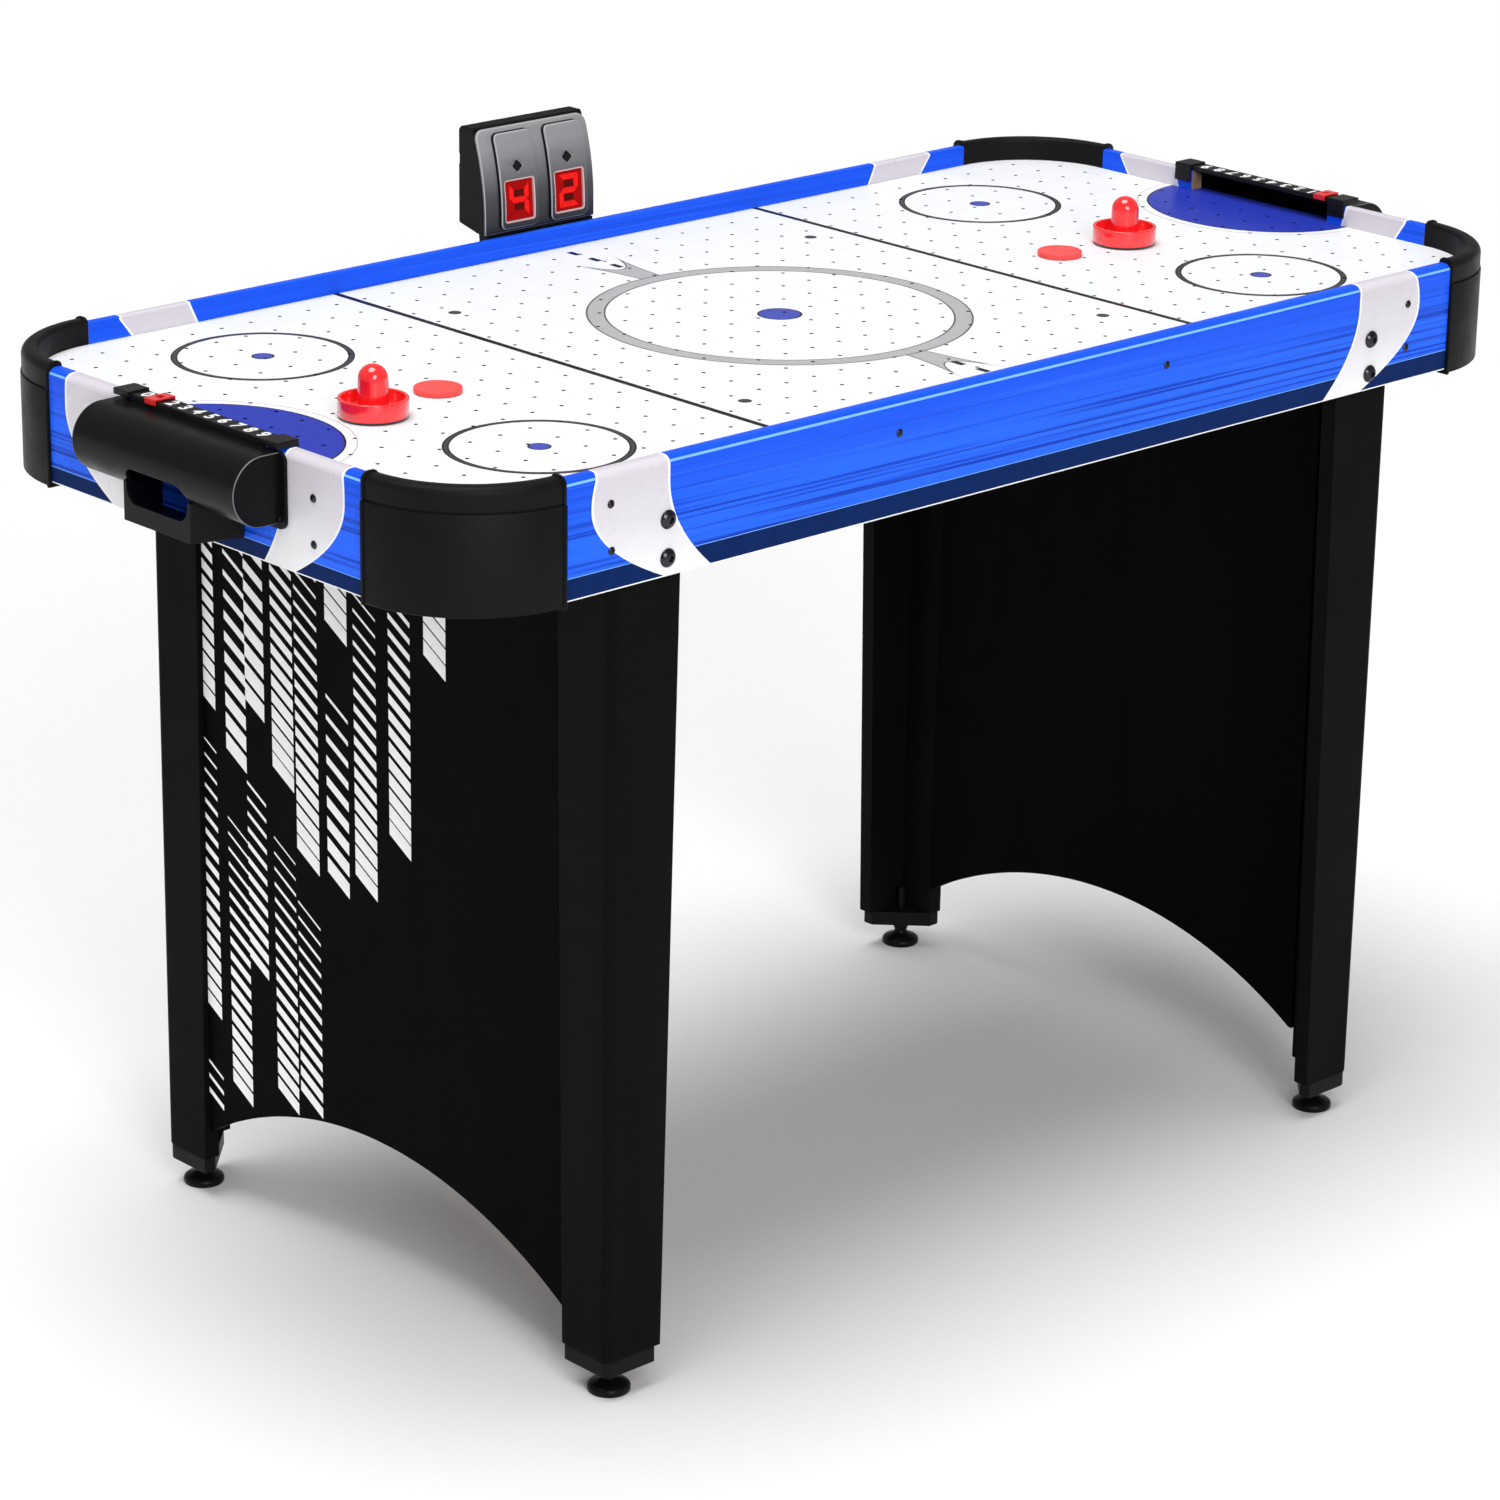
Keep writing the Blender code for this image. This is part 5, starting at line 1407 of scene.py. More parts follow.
# Columns of slanted bars printed on the end panels, in millimetres: left and right edge from
# the panel's middle, top and bottom, the bars' pitch, and how thick the topmost and the
# lowest bar are, as a share of the pitch.
STRIPES = (
    (231, 211, 735, 459, 14.0, 0.50, 0.86), (231, 211, 440, 183, 14.0, 0.06, 0.84),
    (231, 211, 146, 72, 14.0, 0.08, 0.50),
    (197, 170, 735, 421, 18.8, 0.12, 0.76), (197, 170, 379, 107, 14.0, 0.06, 0.86),
    (170, 145, 735, 471, 18.8, 0.34, 0.80), (170, 145, 423, 243, 14.0, 0.12, 0.62),
    (135, 107, 735, 422, 14.0, 0.34, 0.90), (135, 107, 378, 93, 14.0, 0.05, 0.88),
    (104, 75, 735, 359, 14.0, 0.12, 0.88), (104, 75, 336, 87, 14.0, 0.05, 0.84),
    (64, 36, 735, 566, 14.0, 0.80, 0.90), (64, 36, 529, 350, 18.8, 0.06, 0.70),
    (28, 0, 735, 358, 14.0, 0.08, 0.88), (-16, -43, 735, 405, 14.0, 0.26, 0.90),
    (-60, -87, 735, 568, 14.0, 0.86, 0.90),
)
# Bars above this height are all as thick as the topmost one; below it they grow.
STRIPE_CLEAR = 615
STRIPE_SLOPE = 0.585
STRIPE_EDGE_GAP = 0.6
STRIPE_THICKNESS = 0.1 * MM
ARCH_CLEARANCE = 1.5 * MM


def build_panel_prints():
    face = LEG_X - PANEL_RECESS
    for name, side in SIDES.items():
        bm = bmesh.new()
        for edge, right, top, bottom, pitch, first, last in STRIPES:
            start = min(top, STRIPE_CLEAR)
            for index in range(int((top - bottom) / pitch)):
                low = bottom + index * pitch
                left = min(edge, panel_half(low * MM) / MM - STRIPE_EDGE_GAP)
                fall = (left - right) * STRIPE_SLOPE
                share = min(1.0, max(0.0, (start - low) / (start - bottom)))
                thick = pitch * (first + (last - first) * share)
                high = low + thick
                corners = [(left, high), (right, high - fall), (right, high - fall - thick),
                           (left, high - thick)]
                clear = arch_height(right * MM) + ARCH_CLEARANCE
                if (high - fall - thick) * MM < clear:
                    continue
                outline = [(-side * across * MM, height * MM) for across, height in corners]
                merge_bmesh(bm, slab_bmesh(outline, "X", side * (face - STRIPE_THICKNESS),
                                           side * 1.6 * STRIPE_THICKNESS))
        mesh = to_mesh(bm, [PANEL_WHITE])
        piece(f"end_panel_print_{name}", mesh, "table", "white_laminate")


def build_leg_bolts():
    head = BOLT_HEAD_HEIGHT
    profile = [(0, head), (3.6 * MM, head), (4.6 * MM, head - 0.4 * MM),
               (5.6 * MM, head - 1.1 * MM), (6.6 * MM, head - 2.1 * MM),
               (BOLT_HEAD_RADIUS - 0.2 * MM, 1.1 * MM), (BOLT_HEAD_RADIUS, 0.7 * MM),
               (BOLT_HEAD_RADIUS, GAP), (BOLT_RADIUS, GAP), (BOLT_RADIUS, -BOLT_LENGTH),
               (0, -BOLT_LENGTH)]
    mesh = to_mesh(turned_bmesh(profile, 40), [SCREW_BLACK])
    socket = rod_bmesh(2.9 * MM, 4 * MM, 6, (0, 0, head + 0.2 * MM))
    mesh = boolean(mesh, socket)
    for row, sign in ROWS.items():
        for name, side in SIDES.items():
            for level, height in zip(("lower", "upper"), BOLT_HEIGHTS):
                place = stood((side * BOLT_X, sign * HALF_WIDTH, height), "X", -sign * 90)
                node = f"leg_bolt_{row}_{name}_{level}"
                piece_at(place, f"{node}_turned", mesh, "black_steel", [node])


# Small screws' places along a rail and their heights, in millimetres.
SIDE_SCREWS = ((-460, 750), (-459, 713.6), (-160.8, 749), (145.4, 749.7), (449.7, 750),
               (450, 711.8))
END_SCREWS = ((-137, 746), (-137, 710), (137, 746), (137, 710))
FLANGE_SCREWS = ((-98, 722), (98, 722))
SCREW_RADIUS = 3.4 * MM


def screw_mesh():
    """A small round-headed screw with a cross recess, standing up on z = 0."""
    head = 1.6 * MM
    profile = [(0, head), (1.2 * MM, head - 0.05 * MM), (2.4 * MM, head - 0.4 * MM),
               (3.1 * MM, head - 0.95 * MM), (SCREW_RADIUS, 0.2 * MM),
               (SCREW_RADIUS, -0.2 * MM), (0, -0.2 * MM)]
    mesh = to_mesh(turned_bmesh(profile, 24), [SCREW_BLACK])
    for angle in (0, 90):
        slot = box_bmesh((-1.5 * MM, -0.3 * MM, head - 0.7 * MM), (1.5 * MM, 0.3 * MM, 2 * head))
        slot.transform(Matrix.Rotation(math.radians(angle + 20), 4, "Z"))
        mesh = boolean(mesh, slot)
    return mesh


def build_small_screws():
    mesh = screw_mesh()
    places = {}
    for row, sign in ROWS.items():
        for index, (along, height) in enumerate(SIDE_SCREWS):
            centre = (along * MM, sign * HALF_WIDTH, height * MM)
            places[f"rail_screw_{row}_{index}"] = stood(centre, "X", -sign * 90)
    flange = HALF_LENGTH + GAP + FLANGE_THICKNESS
    for name, side in SIDES.items():
        for kind, screws, face in (("rail", END_SCREWS, HALF_LENGTH),
                                   ("goal", FLANGE_SCREWS, flange)):
            for index, (along, height) in enumerate(screws):
                centre = (side * face, along * MM, height * MM)
                places[f"{kind}_screw_{name}_{index}"] = stood(centre, "Y", side * 90)
    for name, place in places.items():
        piece_at(place, name, mesh, "black_steel")


# ---- blower, power inlet and air chamber -------------------------------------

SOCKET_X = 300 * MM
SOCKET_HEIGHT = 706 * MM
SOCKET_RADIUS = 5.5 * MM
SOCKET_BORE = 3.2 * MM
SOCKET_RIM = 8 * MM
SOCKET_DEPTH = RAIL_THICKNESS + 8 * MM
BLOWER_FLANGE = 70 * MM


def build_power_socket():
    proud = 1.8 * MM
    profile = [(SOCKET_BORE, proud - 0.3 * MM), (SOCKET_BORE + 0.3 * MM, proud),
               (SOCKET_RIM - 1 * MM, proud), (SOCKET_RIM - 0.3 * MM, proud - 0.3 * MM),
               (SOCKET_RIM, proud - 0.8 * MM), (SOCKET_RIM, GAP), (SOCKET_RADIUS, GAP),
               (SOCKET_RADIUS, -SOCKET_DEPTH), (0, -SOCKET_DEPTH), (0, -RAIL_THICKNESS),
               (SOCKET_BORE, -RAIL_THICKNESS)]
    place = stood((SOCKET_X, HALF_WIDTH, SOCKET_HEIGHT), "X", -90)
    mesh = to_mesh(turned_bmesh(profile, 40, closed=True), [BLACK_SMOOTH])
    piece_at(place, "power_socket_moulded", mesh, "black_plastic", ["power_socket"])
    pin = [(0, -1 * MM), (0.6 * MM, -1.1 * MM), (1 * MM, -1.6 * MM),
           (1 * MM, 0.2 * MM - RAIL_THICKNESS), (0, 0.2 * MM - RAIL_THICKNESS)]
    mesh = to_mesh(turned_bmesh(pin, 20), [MOTOR_STEEL])
    piece_at(place, "power_socket_pin", mesh, "bright_steel")


def build_blower_screws():
    """Four small screws through the blower's flange, heads down."""
    mesh = screw_mesh()
    flange_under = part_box("blower_housing")[1].z - 2.5 * MM
    radius = BLOWER_FLANGE - 5 * MM
    for index in range(4):
        angle = math.radians(45 + 90 * index)
        centre = (radius * math.cos(angle), radius * math.sin(angle), flange_under)
        piece_at(stood(centre, "X", 180), f"blower_screw_{index}", mesh, "black_steel")


def finish_cad_nodes():
    """Give the CAD nodes that stay in view their detailed finishes."""
    finishes = {"chamber_frame": RAW_BOARD, "chamber_board": RAW_BOARD,
                "blower_housing": BLACK_PLASTIC, "blower_grille": BLACK_SMOOTH,
                "blower_motor": MOTOR_STEEL, "blower_impeller": GREY_WHEEL,
                "scoreboard_circuit": CIRCUIT_GREEN}
    for name, finish in finishes.items():
        node = NODES[name]
        node.data.materials.clear()
        node.data.materials.append(finish)


# ---- score unit --------------------------------------------------------------

UNIT_LEFT = -72 * MM
UNIT_RIGHT = 53.5 * MM
UNIT_CENTRE = (UNIT_LEFT + UNIT_RIGHT) / 2
UNIT_FRONT = HALF_WIDTH + 1 * MM
UNIT_BACK = HALF_WIDTH + 37 * MM
UNIT_BOTTOM = 777 * MM
UNIT_TOP = 869 * MM
FACE_CORNER = 9 * MM
FACE_EASE = 0.8 * MM
FACE_LINES = 26
FACE_THICKNESS = 2.5 * MM
FACE_STRAIGHT = 791 * MM
FACE_RADIUS = 212 * MM
FACE_TOP = 867 * MM
PANEL_PROUD = 4 * MM
RAISED_BOTTOM = 780 * MM
RAISED_TOP = 863 * MM
RAISED_WIDTH = 42 * MM
RAISED_CORNER = 5.5 * MM
PANEL_CENTRES = (-35 * MM, 22 * MM)
DISPLAY_WIDTH = 32 * MM
DISPLAY_BOTTOM = 787 * MM
DISPLAY_TOP = 822 * MM
WINDOW_EDGE = 1.3 * MM
BUTTON_HEIGHT = 834 * MM
BUTTON_SIZE = 5 * MM
BUTTON_SLACK = 0.6 * MM
BUTTON_RIM = 1.4 * MM
BUTTON_PROUD = 1.5 * MM
BUTTON_LENGTH = 13 * MM
LENS_THICKNESS = 3 * MM
LENS_SLACK = 0.5 * MM
CASE_WALL = 2 * MM
CASE_BEVEL = 3 * MM
CURVE_STEPS = 24
COVER_HALF = 30 * MM
COVER_BOTTOM = 785 * MM
COVER_TOP = 825 * MM
COVER_THICKNESS = 2 * MM
COVER_SLACK = 0.4 * MM
NOTCH_HEIGHT = 840 * MM
NOTCH_HALF = 7 * MM
HANGER_DROP = 70 * MM
HANGER_DEPTH = 12 * MM
HANGER_MARGIN = 2 * MM


def face_depth(height):
    """How far back the score unit's curved front lies at a height."""
    lean = max(0.0, height - FACE_STRAIGHT)
    return FACE_RADIUS - math.sqrt(FACE_RADIUS ** 2 - lean ** 2)


def diamond(centre, half):
    """A square standing on its corner."""
    across, up = centre
    return [(across - half, up), (across, up - half), (across + half, up), (across, up + half)]


def face_plan(inset):
    """Outline (x, z) of the face, with rounded top corners."""
    left, right = UNIT_LEFT + inset, UNIT_RIGHT - inset
    bottom, top = UNIT_BOTTOM + inset, FACE_TOP - inset
    radius = FACE_CORNER - inset
    outline = [(left, bottom), (right, bottom)]
    outline += arc((right - radius, top - radius), radius, 0, 90, 8)
    outline += arc((left + radius, top - radius), radius, 90, 180, 8)
    return outline


def raised_plan(centre, inset):
    half = RAISED_WIDTH / 2 - inset
    return rounded_rectangle((centre - half, RAISED_BOTTOM + inset),
                             (centre + half, RAISED_TOP - inset), RAISED_CORNER - inset, 8)


# Finishes of the score unit's face: grey, dark plastic as painted shade on the panels' flanks,
# and two paler greys as painted highlights on rims and window borders.
UNIT_FINISHES = [FACE_GREY_SHADED, DARK_TRIM_AND_FLANK_SHADE, FACE_RIM_HIGHLIGHT, WINDOW_BORDER_HIGHLIGHT]
SHADED_FLANK, HIGHLIGHT_RIM, HIGHLIGHT_BORDER = range(1, 4)

# Steps up the raised panels' flanks: how far in from the panel's outline, and how proud.
FLANK = ((-0.3 * MM, 0.0), (0.0, 1.2 * MM), (0.15 * MM, 2.9 * MM), (0.5 * MM, 3.5 * MM),
         (1.0 * MM, 3.85 * MM), (1.7 * MM, PANEL_PROUD))


def window_plan(centre, grow):
    half = DISPLAY_WIDTH / 2 + grow
    return rounded_rectangle((centre - half, DISPLAY_BOTTOM - grow),
                             (centre + half, DISPLAY_TOP + grow), 1.5 * MM + max(grow, 0), 4)


def build_unit_face():
    loops = [face_plan(0.0), face_plan(FACE_EASE)]
    hole_loops = []
    levels = [(face_plan(0.0), -FACE_EASE)]
    for centre in PANEL_CENTRES:
        for inset, proud in FLANK:
            loop = raised_plan(centre, inset)
            loops.append(loop)
            levels.append((loop, proud))
        window = window_plan(centre, 0.0)
        button = diamond((centre, BUTTON_HEIGHT), BUTTON_SIZE + BUTTON_SLACK)
        for hole, rim in ((window, window_plan(centre, WINDOW_EDGE)),
                          (button, diamond((centre, BUTTON_HEIGHT), BUTTON_SIZE + BUTTON_RIM))):
            loops += [hole, rim]
            hole_loops.append(hole)
            levels.append((hole, PANEL_PROUD - 0.4 * MM))
    ruled = []
    for index in range(1, FACE_LINES):
        height = UNIT_BOTTOM + (FACE_TOP - UNIT_BOTTOM) * index / FACE_LINES
        ruled.append([(UNIT_LEFT, height), (UNIT_RIGHT, height)])
    points, faces = triangles(loops, ruled)
    outline = face_plan(0.0)
    kept = []
    for face in faces:
        centre = middle([points[index] for index in face])
        if in_polygon(centre, outline) and not any(in_polygon(centre, hole)
                                                   for hole in hole_loops):
            kept.append(list(face))

    def proud_at(point):
        for loop, level in levels:
            if on_outline(point, loop):
                return level
        for centre in PANEL_CENTRES:
            if in_polygon(point, raised_plan(centre, FLANK[-1][0])):
                return PANEL_PROUD
            for (outer, low), (inner, high) in zip(FLANK, FLANK[1:]):
                if in_polygon(point, raised_plan(centre, outer)) and not in_polygon(
                        point, raised_plan(centre, inner)):
                    return (low + high) / 2
        return 0.0

    def front(point):
        return Vector((point[0], UNIT_FRONT + face_depth(point[1]) - proud_at(point), point[1]))

    def back(point):
        depth = UNIT_FRONT + face_depth(point[1]) + FACE_THICKNESS
        return Vector((point[0], depth, point[1]))

    bm = solid_from(points, kept, front, back)
    bm.normal_update()
    paint_unit_face(bm)
    mesh = to_mesh(bm, UNIT_FINISHES, 50)
    stand_in("scoreboard_face", mesh, "grey_plastic")


def paint_unit_face(bm):
    """Pick each face's finish by where it lies on the score unit's front: painted shade on the
    raised panels' flanks, painted highlights on eased rims, button rims and window borders.
    """
    button_rim = BUTTON_SIZE + BUTTON_RIM
    for face in bm.faces:
        centre = face.calc_center_median()
        spot = (centre.x, centre.z)
        if centre.y > UNIT_FRONT + face_depth(centre.z) + 1.2 * MM:
            continue
        if not in_polygon(spot, face_plan(FACE_EASE)):
            face.material_index = HIGHLIGHT_RIM
        for panel in PANEL_CENTRES:
            if not in_polygon(spot, raised_plan(panel, FLANK[0][0])):
                continue
            # Lower flank: painted shade. Upper rounding: painted highlight.
            if not in_polygon(spot, raised_plan(panel, FLANK[2][0])):
                face.material_index = SHADED_FLANK
            elif not in_polygon(spot, raised_plan(panel, FLANK[-2][0])):
                face.material_index = HIGHLIGHT_RIM
            elif in_polygon(spot, window_plan(panel, WINDOW_EDGE)):
                face.material_index = HIGHLIGHT_BORDER
            elif in_polygon(spot, diamond((panel, BUTTON_HEIGHT), button_rim)):
                face.material_index = HIGHLIGHT_RIM


def on_outline(point, outline):
    """True if a point lies on a closed outline, within a hundredth of a millimetre."""
    here = Vector((point[0], point[1]))
    for first, second in zip(outline, outline[1:] + outline[:1]):
        start = Vector(first)
        run = Vector(second) - start
        if run.length < 1e-9:
            continue
        share = min(1.0, max(0.0, (here - start).dot(run) / run.length_squared))
        if (start + run * share - here).length < ON_LINE:
            return True
    return False


def segment_outlines(centre, base, width, height, bar):
    """The seven segments of a display digit, by letter, as (x, z) outlines."""
    gap = 0.35 * MM
    half = width / 2
    inner = half - bar
    middle_up = base + height / 2
    plans = {}
    top = base + height
    plans["a"] = [(-half + gap, top), (-inner + gap, top - bar), (inner - gap, top - bar),
                  (half - gap, top)]
    plans["d"] = [(-half + gap, base), (half - gap, base), (inner - gap, base + bar),
                  (-inner + gap, base + bar)]
    plans["g"] = [(-half + bar / 2, middle_up), (-inner + gap, middle_up - bar / 2),
                  (inner - gap, middle_up - bar / 2), (half - bar / 2, middle_up),
                  (inner - gap, middle_up + bar / 2), (-inner + gap, middle_up + bar / 2)]
    for upper, sides in ((True, ("f", "b")), (False, ("e", "c"))):
        for letter, side in zip(sides, (-1, 1)):
            flip = 1 if upper else -1
            outer_end = height / 2 - gap
            plans[letter] = [(side * half, middle_up + flip * outer_end),
                             (side * inner, middle_up + flip * (height / 2 - bar - gap)),
                             (side * inner, middle_up + flip * (bar / 2 + gap)),
                             (side * (half - bar / 2), middle_up + flip * gap),
                             (side * half, middle_up + flip * (bar / 2))]
    return {letter: [(centre + across, up) for across, up in plan]
            for letter, plan in plans.items()}


LIT = {"home": "bcfg", "visitor": "abdeg"}
DISPLAY_DIGIT = (22 * MM, 29 * MM, 4.8 * MM)
WELL_GAP = 0.8 * MM


def plates_bmesh(outlines, depth, thickness):
    """Thin plates whose backs lie at a depth."""
    bm = bmesh.new()
    for outline in outlines:
        merge_bmesh(bm, slab_bmesh(outline, "Y", depth - thickness, thickness))
    return bm


def lean_back(bm):
    """Tilt flat display parts so that they follow the curved face."""
    lean = face_depth(DISPLAY_TOP) / (DISPLAY_TOP - DISPLAY_BOTTOM)
    for vert in bm.verts:
        vert.co.y += (vert.co.z - DISPLAY_BOTTOM) * lean


def build_displays():
    width, height, bar = DISPLAY_DIGIT
    depth = UNIT_FRONT - PANEL_PROUD + 1.1 * MM
    half = DISPLAY_WIDTH / 2 - LENS_SLACK
    base = (DISPLAY_BOTTOM + DISPLAY_TOP - height) / 2
    middle_up = base + height / 2
    inner = width / 2 - bar - WELL_GAP
    low = bar / 2 + WELL_GAP
    high = height / 2 - bar - WELL_GAP
    for name, centre in zip(("home", "visitor"), PANEL_CENTRES):
        window = rounded_rectangle((centre - half, DISPLAY_BOTTOM + LENS_SLACK),
                                   (centre + half, DISPLAY_TOP - LENS_SLACK), 1 * MM, 4)
        lens = eased(slab_bmesh(window, "Y", depth, 2 * LENS_THICKNESS), 0.4 * MM)
        plans = segment_outlines(centre, base, width, height, bar)
        digit = plates_bmesh([plans[letter] for letter in LIT[name]], depth, 0.25 * MM)
        wells = [rounded_rectangle((centre - inner, start), (centre + inner, end), 0.6 * MM, 3)
                 for start, end in ((middle_up + low, middle_up + high),
                                    (middle_up - high, middle_up - low))]
        wells = plates_bmesh(wells, depth, 0.15 * MM)
        for bm in (lens, digit, wells):
            lean_back(bm)
        mesh = to_mesh(lens, [RED_WINDOW])
        stand_in(f"display_{name}", mesh, "red_window", ending="lens", even=True)
        mesh = to_mesh(digit, [RED_LIT])
        piece(f"display_{name}_digit", mesh, "table", "red_window")
        mesh = to_mesh(wells, [RED_WELL])
        piece(f"display_{name}_wells", mesh, "table", "red_window")


def build_buttons():
    for name, centre in zip(("home", "visitor"), PANEL_CENTRES):
        front = UNIT_FRONT + face_depth(BUTTON_HEIGHT) - PANEL_PROUD - BUTTON_PROUD
        outline = diamond((centre, BUTTON_HEIGHT), BUTTON_SIZE)
        bm = eased(slab_bmesh(outline, "Y", front, BUTTON_LENGTH), 0.8 * MM, 3)
        mesh = to_mesh(bm, [BLACK_SMOOTH], 50)
        stand_in(f"score_button_{name}", mesh, "black_plastic", f"button_{name}",
                 even=True)


def front_curve(bottom, top, offset, steps):
    """Side view (y, z) of the curved front between two heights, moved back by offset."""
    heights = [bottom + (top - bottom) * step / steps for step in range(steps + 1)]
    return [(UNIT_FRONT + face_depth(height) + offset, height) for height in heights]


def case_side(shrink, steps):
    """Side view (y, z) of the rear case: curved front, flat back and chamfered foot."""
    front = front_curve(UNIT_BOTTOM + shrink, UNIT_TOP - shrink, FACE_THICKNESS + GAP, steps)
    back = UNIT_BACK - shrink
    foot = HALF_WIDTH + HANGER_DEPTH + shrink
    return front + [(back - CASE_BEVEL, UNIT_TOP - shrink),
                    (back, UNIT_TOP - CASE_BEVEL - shrink),
                    (back, UNIT_BOTTOM + 2 * CASE_BEVEL + shrink), (foot, UNIT_BOTTOM + shrink)]


def build_unit_case():
    side = case_side(0.0, CURVE_STEPS)
    bm = eased(slab_bmesh(side, "X", UNIT_LEFT, UNIT_RIGHT - UNIT_LEFT), 1.5 * MM, 3, 30)
    mesh = to_mesh(bm, [BLACK_PLASTIC])
    left = UNIT_LEFT + HANGER_MARGIN
    right = UNIT_RIGHT - HANGER_MARGIN
    back = HALF_WIDTH + HANGER_DEPTH
    low = (left, HALF_WIDTH + GAP, UNIT_BOTTOM - HANGER_DROP)
    hanger = box_bmesh(low, (right, back, UNIT_BOTTOM - GAP))
    mesh = boolean(mesh, eased(hanger, 0.8 * MM), "UNION")
    low = (left, UNIT_FRONT + FACE_THICKNESS + 1 * MM, UNIT_BOTTOM - 2 * CASE_WALL)
    high = (right, back - 0.2 * MM, UNIT_BOTTOM + 2 * CASE_WALL)
    mesh = boolean(mesh, box_bmesh(low, high), "UNION")
    hollow = case_side(CASE_WALL, CURVE_STEPS)
    hollow = [(depth - 4 * CASE_WALL, height) if index <= CURVE_STEPS else (depth, height)
              for index, (depth, height) in enumerate(hollow)]
    room = UNIT_RIGHT - UNIT_LEFT - 2 * CASE_WALL
    mesh = boolean(mesh, slab_bmesh(hollow, "X", UNIT_LEFT + CASE_WALL, room))
    notch = [(UNIT_BACK + 1 * MM, NOTCH_HEIGHT - NOTCH_HALF),
             (UNIT_BACK + 1 * MM - NOTCH_HALF, NOTCH_HEIGHT),
             (UNIT_BACK + 1 * MM, NOTCH_HEIGHT + NOTCH_HALF)]
    depth = 0.75 * CASE_WALL
    for edge in (UNIT_LEFT, UNIT_RIGHT):
        mesh = boolean(mesh, slab_bmesh(notch, "X", edge - depth, 2 * depth))
    low = (UNIT_CENTRE - COVER_HALF - COVER_SLACK,
           UNIT_BACK - COVER_THICKNESS - COVER_SLACK, COVER_BOTTOM - THROUGH / 3)
    high = (UNIT_CENTRE + COVER_HALF + COVER_SLACK, UNIT_BACK + THROUGH,
            COVER_TOP + COVER_SLACK)
    mesh = boolean(mesh, box_bmesh(low, high))
    for index in range(5):
        start = UNIT_FRONT + face_depth(UNIT_TOP) + FACE_THICKNESS + (2 + 2.6 * index) * MM
        groove = box_bmesh((UNIT_LEFT - 1 * MM, start, UNIT_TOP - 0.5 * MM),
                           (UNIT_RIGHT + 1 * MM, start + 0.8 * MM, UNIT_TOP + 1 * MM))
        mesh = boolean(mesh, groove)
    stand_in("scoreboard_case", mesh, "black_plastic", even=True)


def build_battery_cover():
    low = (UNIT_CENTRE - COVER_HALF, UNIT_BACK - COVER_THICKNESS, COVER_BOTTOM)
    high = (UNIT_CENTRE + COVER_HALF, UNIT_BACK, COVER_TOP)
    mesh = to_mesh(eased(box_bmesh(low, high), 0.4 * MM), [BLACK_PLASTIC])
    for index in range(5):
        height = COVER_TOP - (8 + 2.4 * index) * MM
        groove = box_bmesh((UNIT_CENTRE - 9 * MM, UNIT_BACK - 0.6 * MM, height),
                           (UNIT_CENTRE + 9 * MM, UNIT_BACK + 1 * MM, height + 1.1 * MM))
        mesh = boolean(mesh, groove)
    stand_in("battery_cover", mesh, "black_plastic", "cover", even=True)


# ---- strikers and pucks ------------------------------------------------------

STRIKER_RADIUS = 28 * MM
STRIKER_CUP = 25 * MM
STRIKER_RIM = 16 * MM
KNOB_RADIUS = 12 * MM
STRIKER_HEIGHT = 42 * MM
# The curve at the knob's foot, in millimetres: how far out from the knob, and how high.
KNOB_FOOT = ((0.3, 6), (0.8, 3), (1.6, 1.2), (3, 0.2), (4, 0))
FELT_THICKNESS = 1.5 * MM
PUCK_RADIUS = 19.5 * MM
PUCK_ROUND = 0.9 * MM
PUCK_DISH = 0.35 * MM


def place_of(node):
    """The middle of a CAD node, seen from the table's middle."""
    low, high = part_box(node)
    return ((low.x + high.x) / 2, (low.y + high.y) / 2 - TABLE_Y)


def build_strikers():
    base = FIELD_TOP + GAP
    body = base + FELT_THICKNESS + GAP
    rim = base + STRIKER_RIM
    floor = base + 4 * MM
    knob_top = base + STRIKER_HEIGHT
    profile = arc((0.0, knob_top - KNOB_RADIUS), KNOB_RADIUS, 90, 0, 14)
    profile += [(KNOB_RADIUS + spread * MM, floor + rise * MM) for spread, rise in KNOB_FOOT]
    profile += [(STRIKER_CUP - 3 * MM, floor),
                (STRIKER_CUP - 1 * MM, floor + 0.8 * MM), (STRIKER_CUP, floor + 2.5 * MM),
                (STRIKER_CUP, rim - 1.2 * MM)]
    profile += arc((STRIKER_CUP + 0.8 * MM, rim - 0.8 * MM), 0.8 * MM, 180, 90, 3)
    profile += arc((STRIKER_RADIUS - 1 * MM, rim - 1 * MM), 1 * MM, 90, 0, 4)
    profile += [(STRIKER_RADIUS, body + 0.5 * MM), (STRIKER_RADIUS - 0.4 * MM, body),
                (0.0, body)]
    felt_outer = STRIKER_RADIUS - 0.5 * MM
    felt_inner = STRIKER_RADIUS - 9 * MM
    ring = [(felt_inner, base + FELT_THICKNESS), (felt_outer, base + FELT_THICKNESS),
            (felt_outer, base + 0.2 * MM), (felt_outer - 0.3 * MM, base),
            (felt_inner + 0.3 * MM, base), (felt_inner, base + 0.2 * MM)]
    for name in SIDES:
        place = place_of(f"striker_{name}")
        mesh = to_mesh(turned_bmesh(profile, 72), [RED_GLOSS], 50)
        stand_in(f"striker_{name}", mesh, "red_plastic", f"striker_{name}",
                 place=place)
        mesh = to_mesh(turned_bmesh(ring, 72, closed=True), [FELT])
        stand_in(f"striker_felt_{name}", mesh, "black_felt", f"striker_{name}", "ring",
                 place=place)


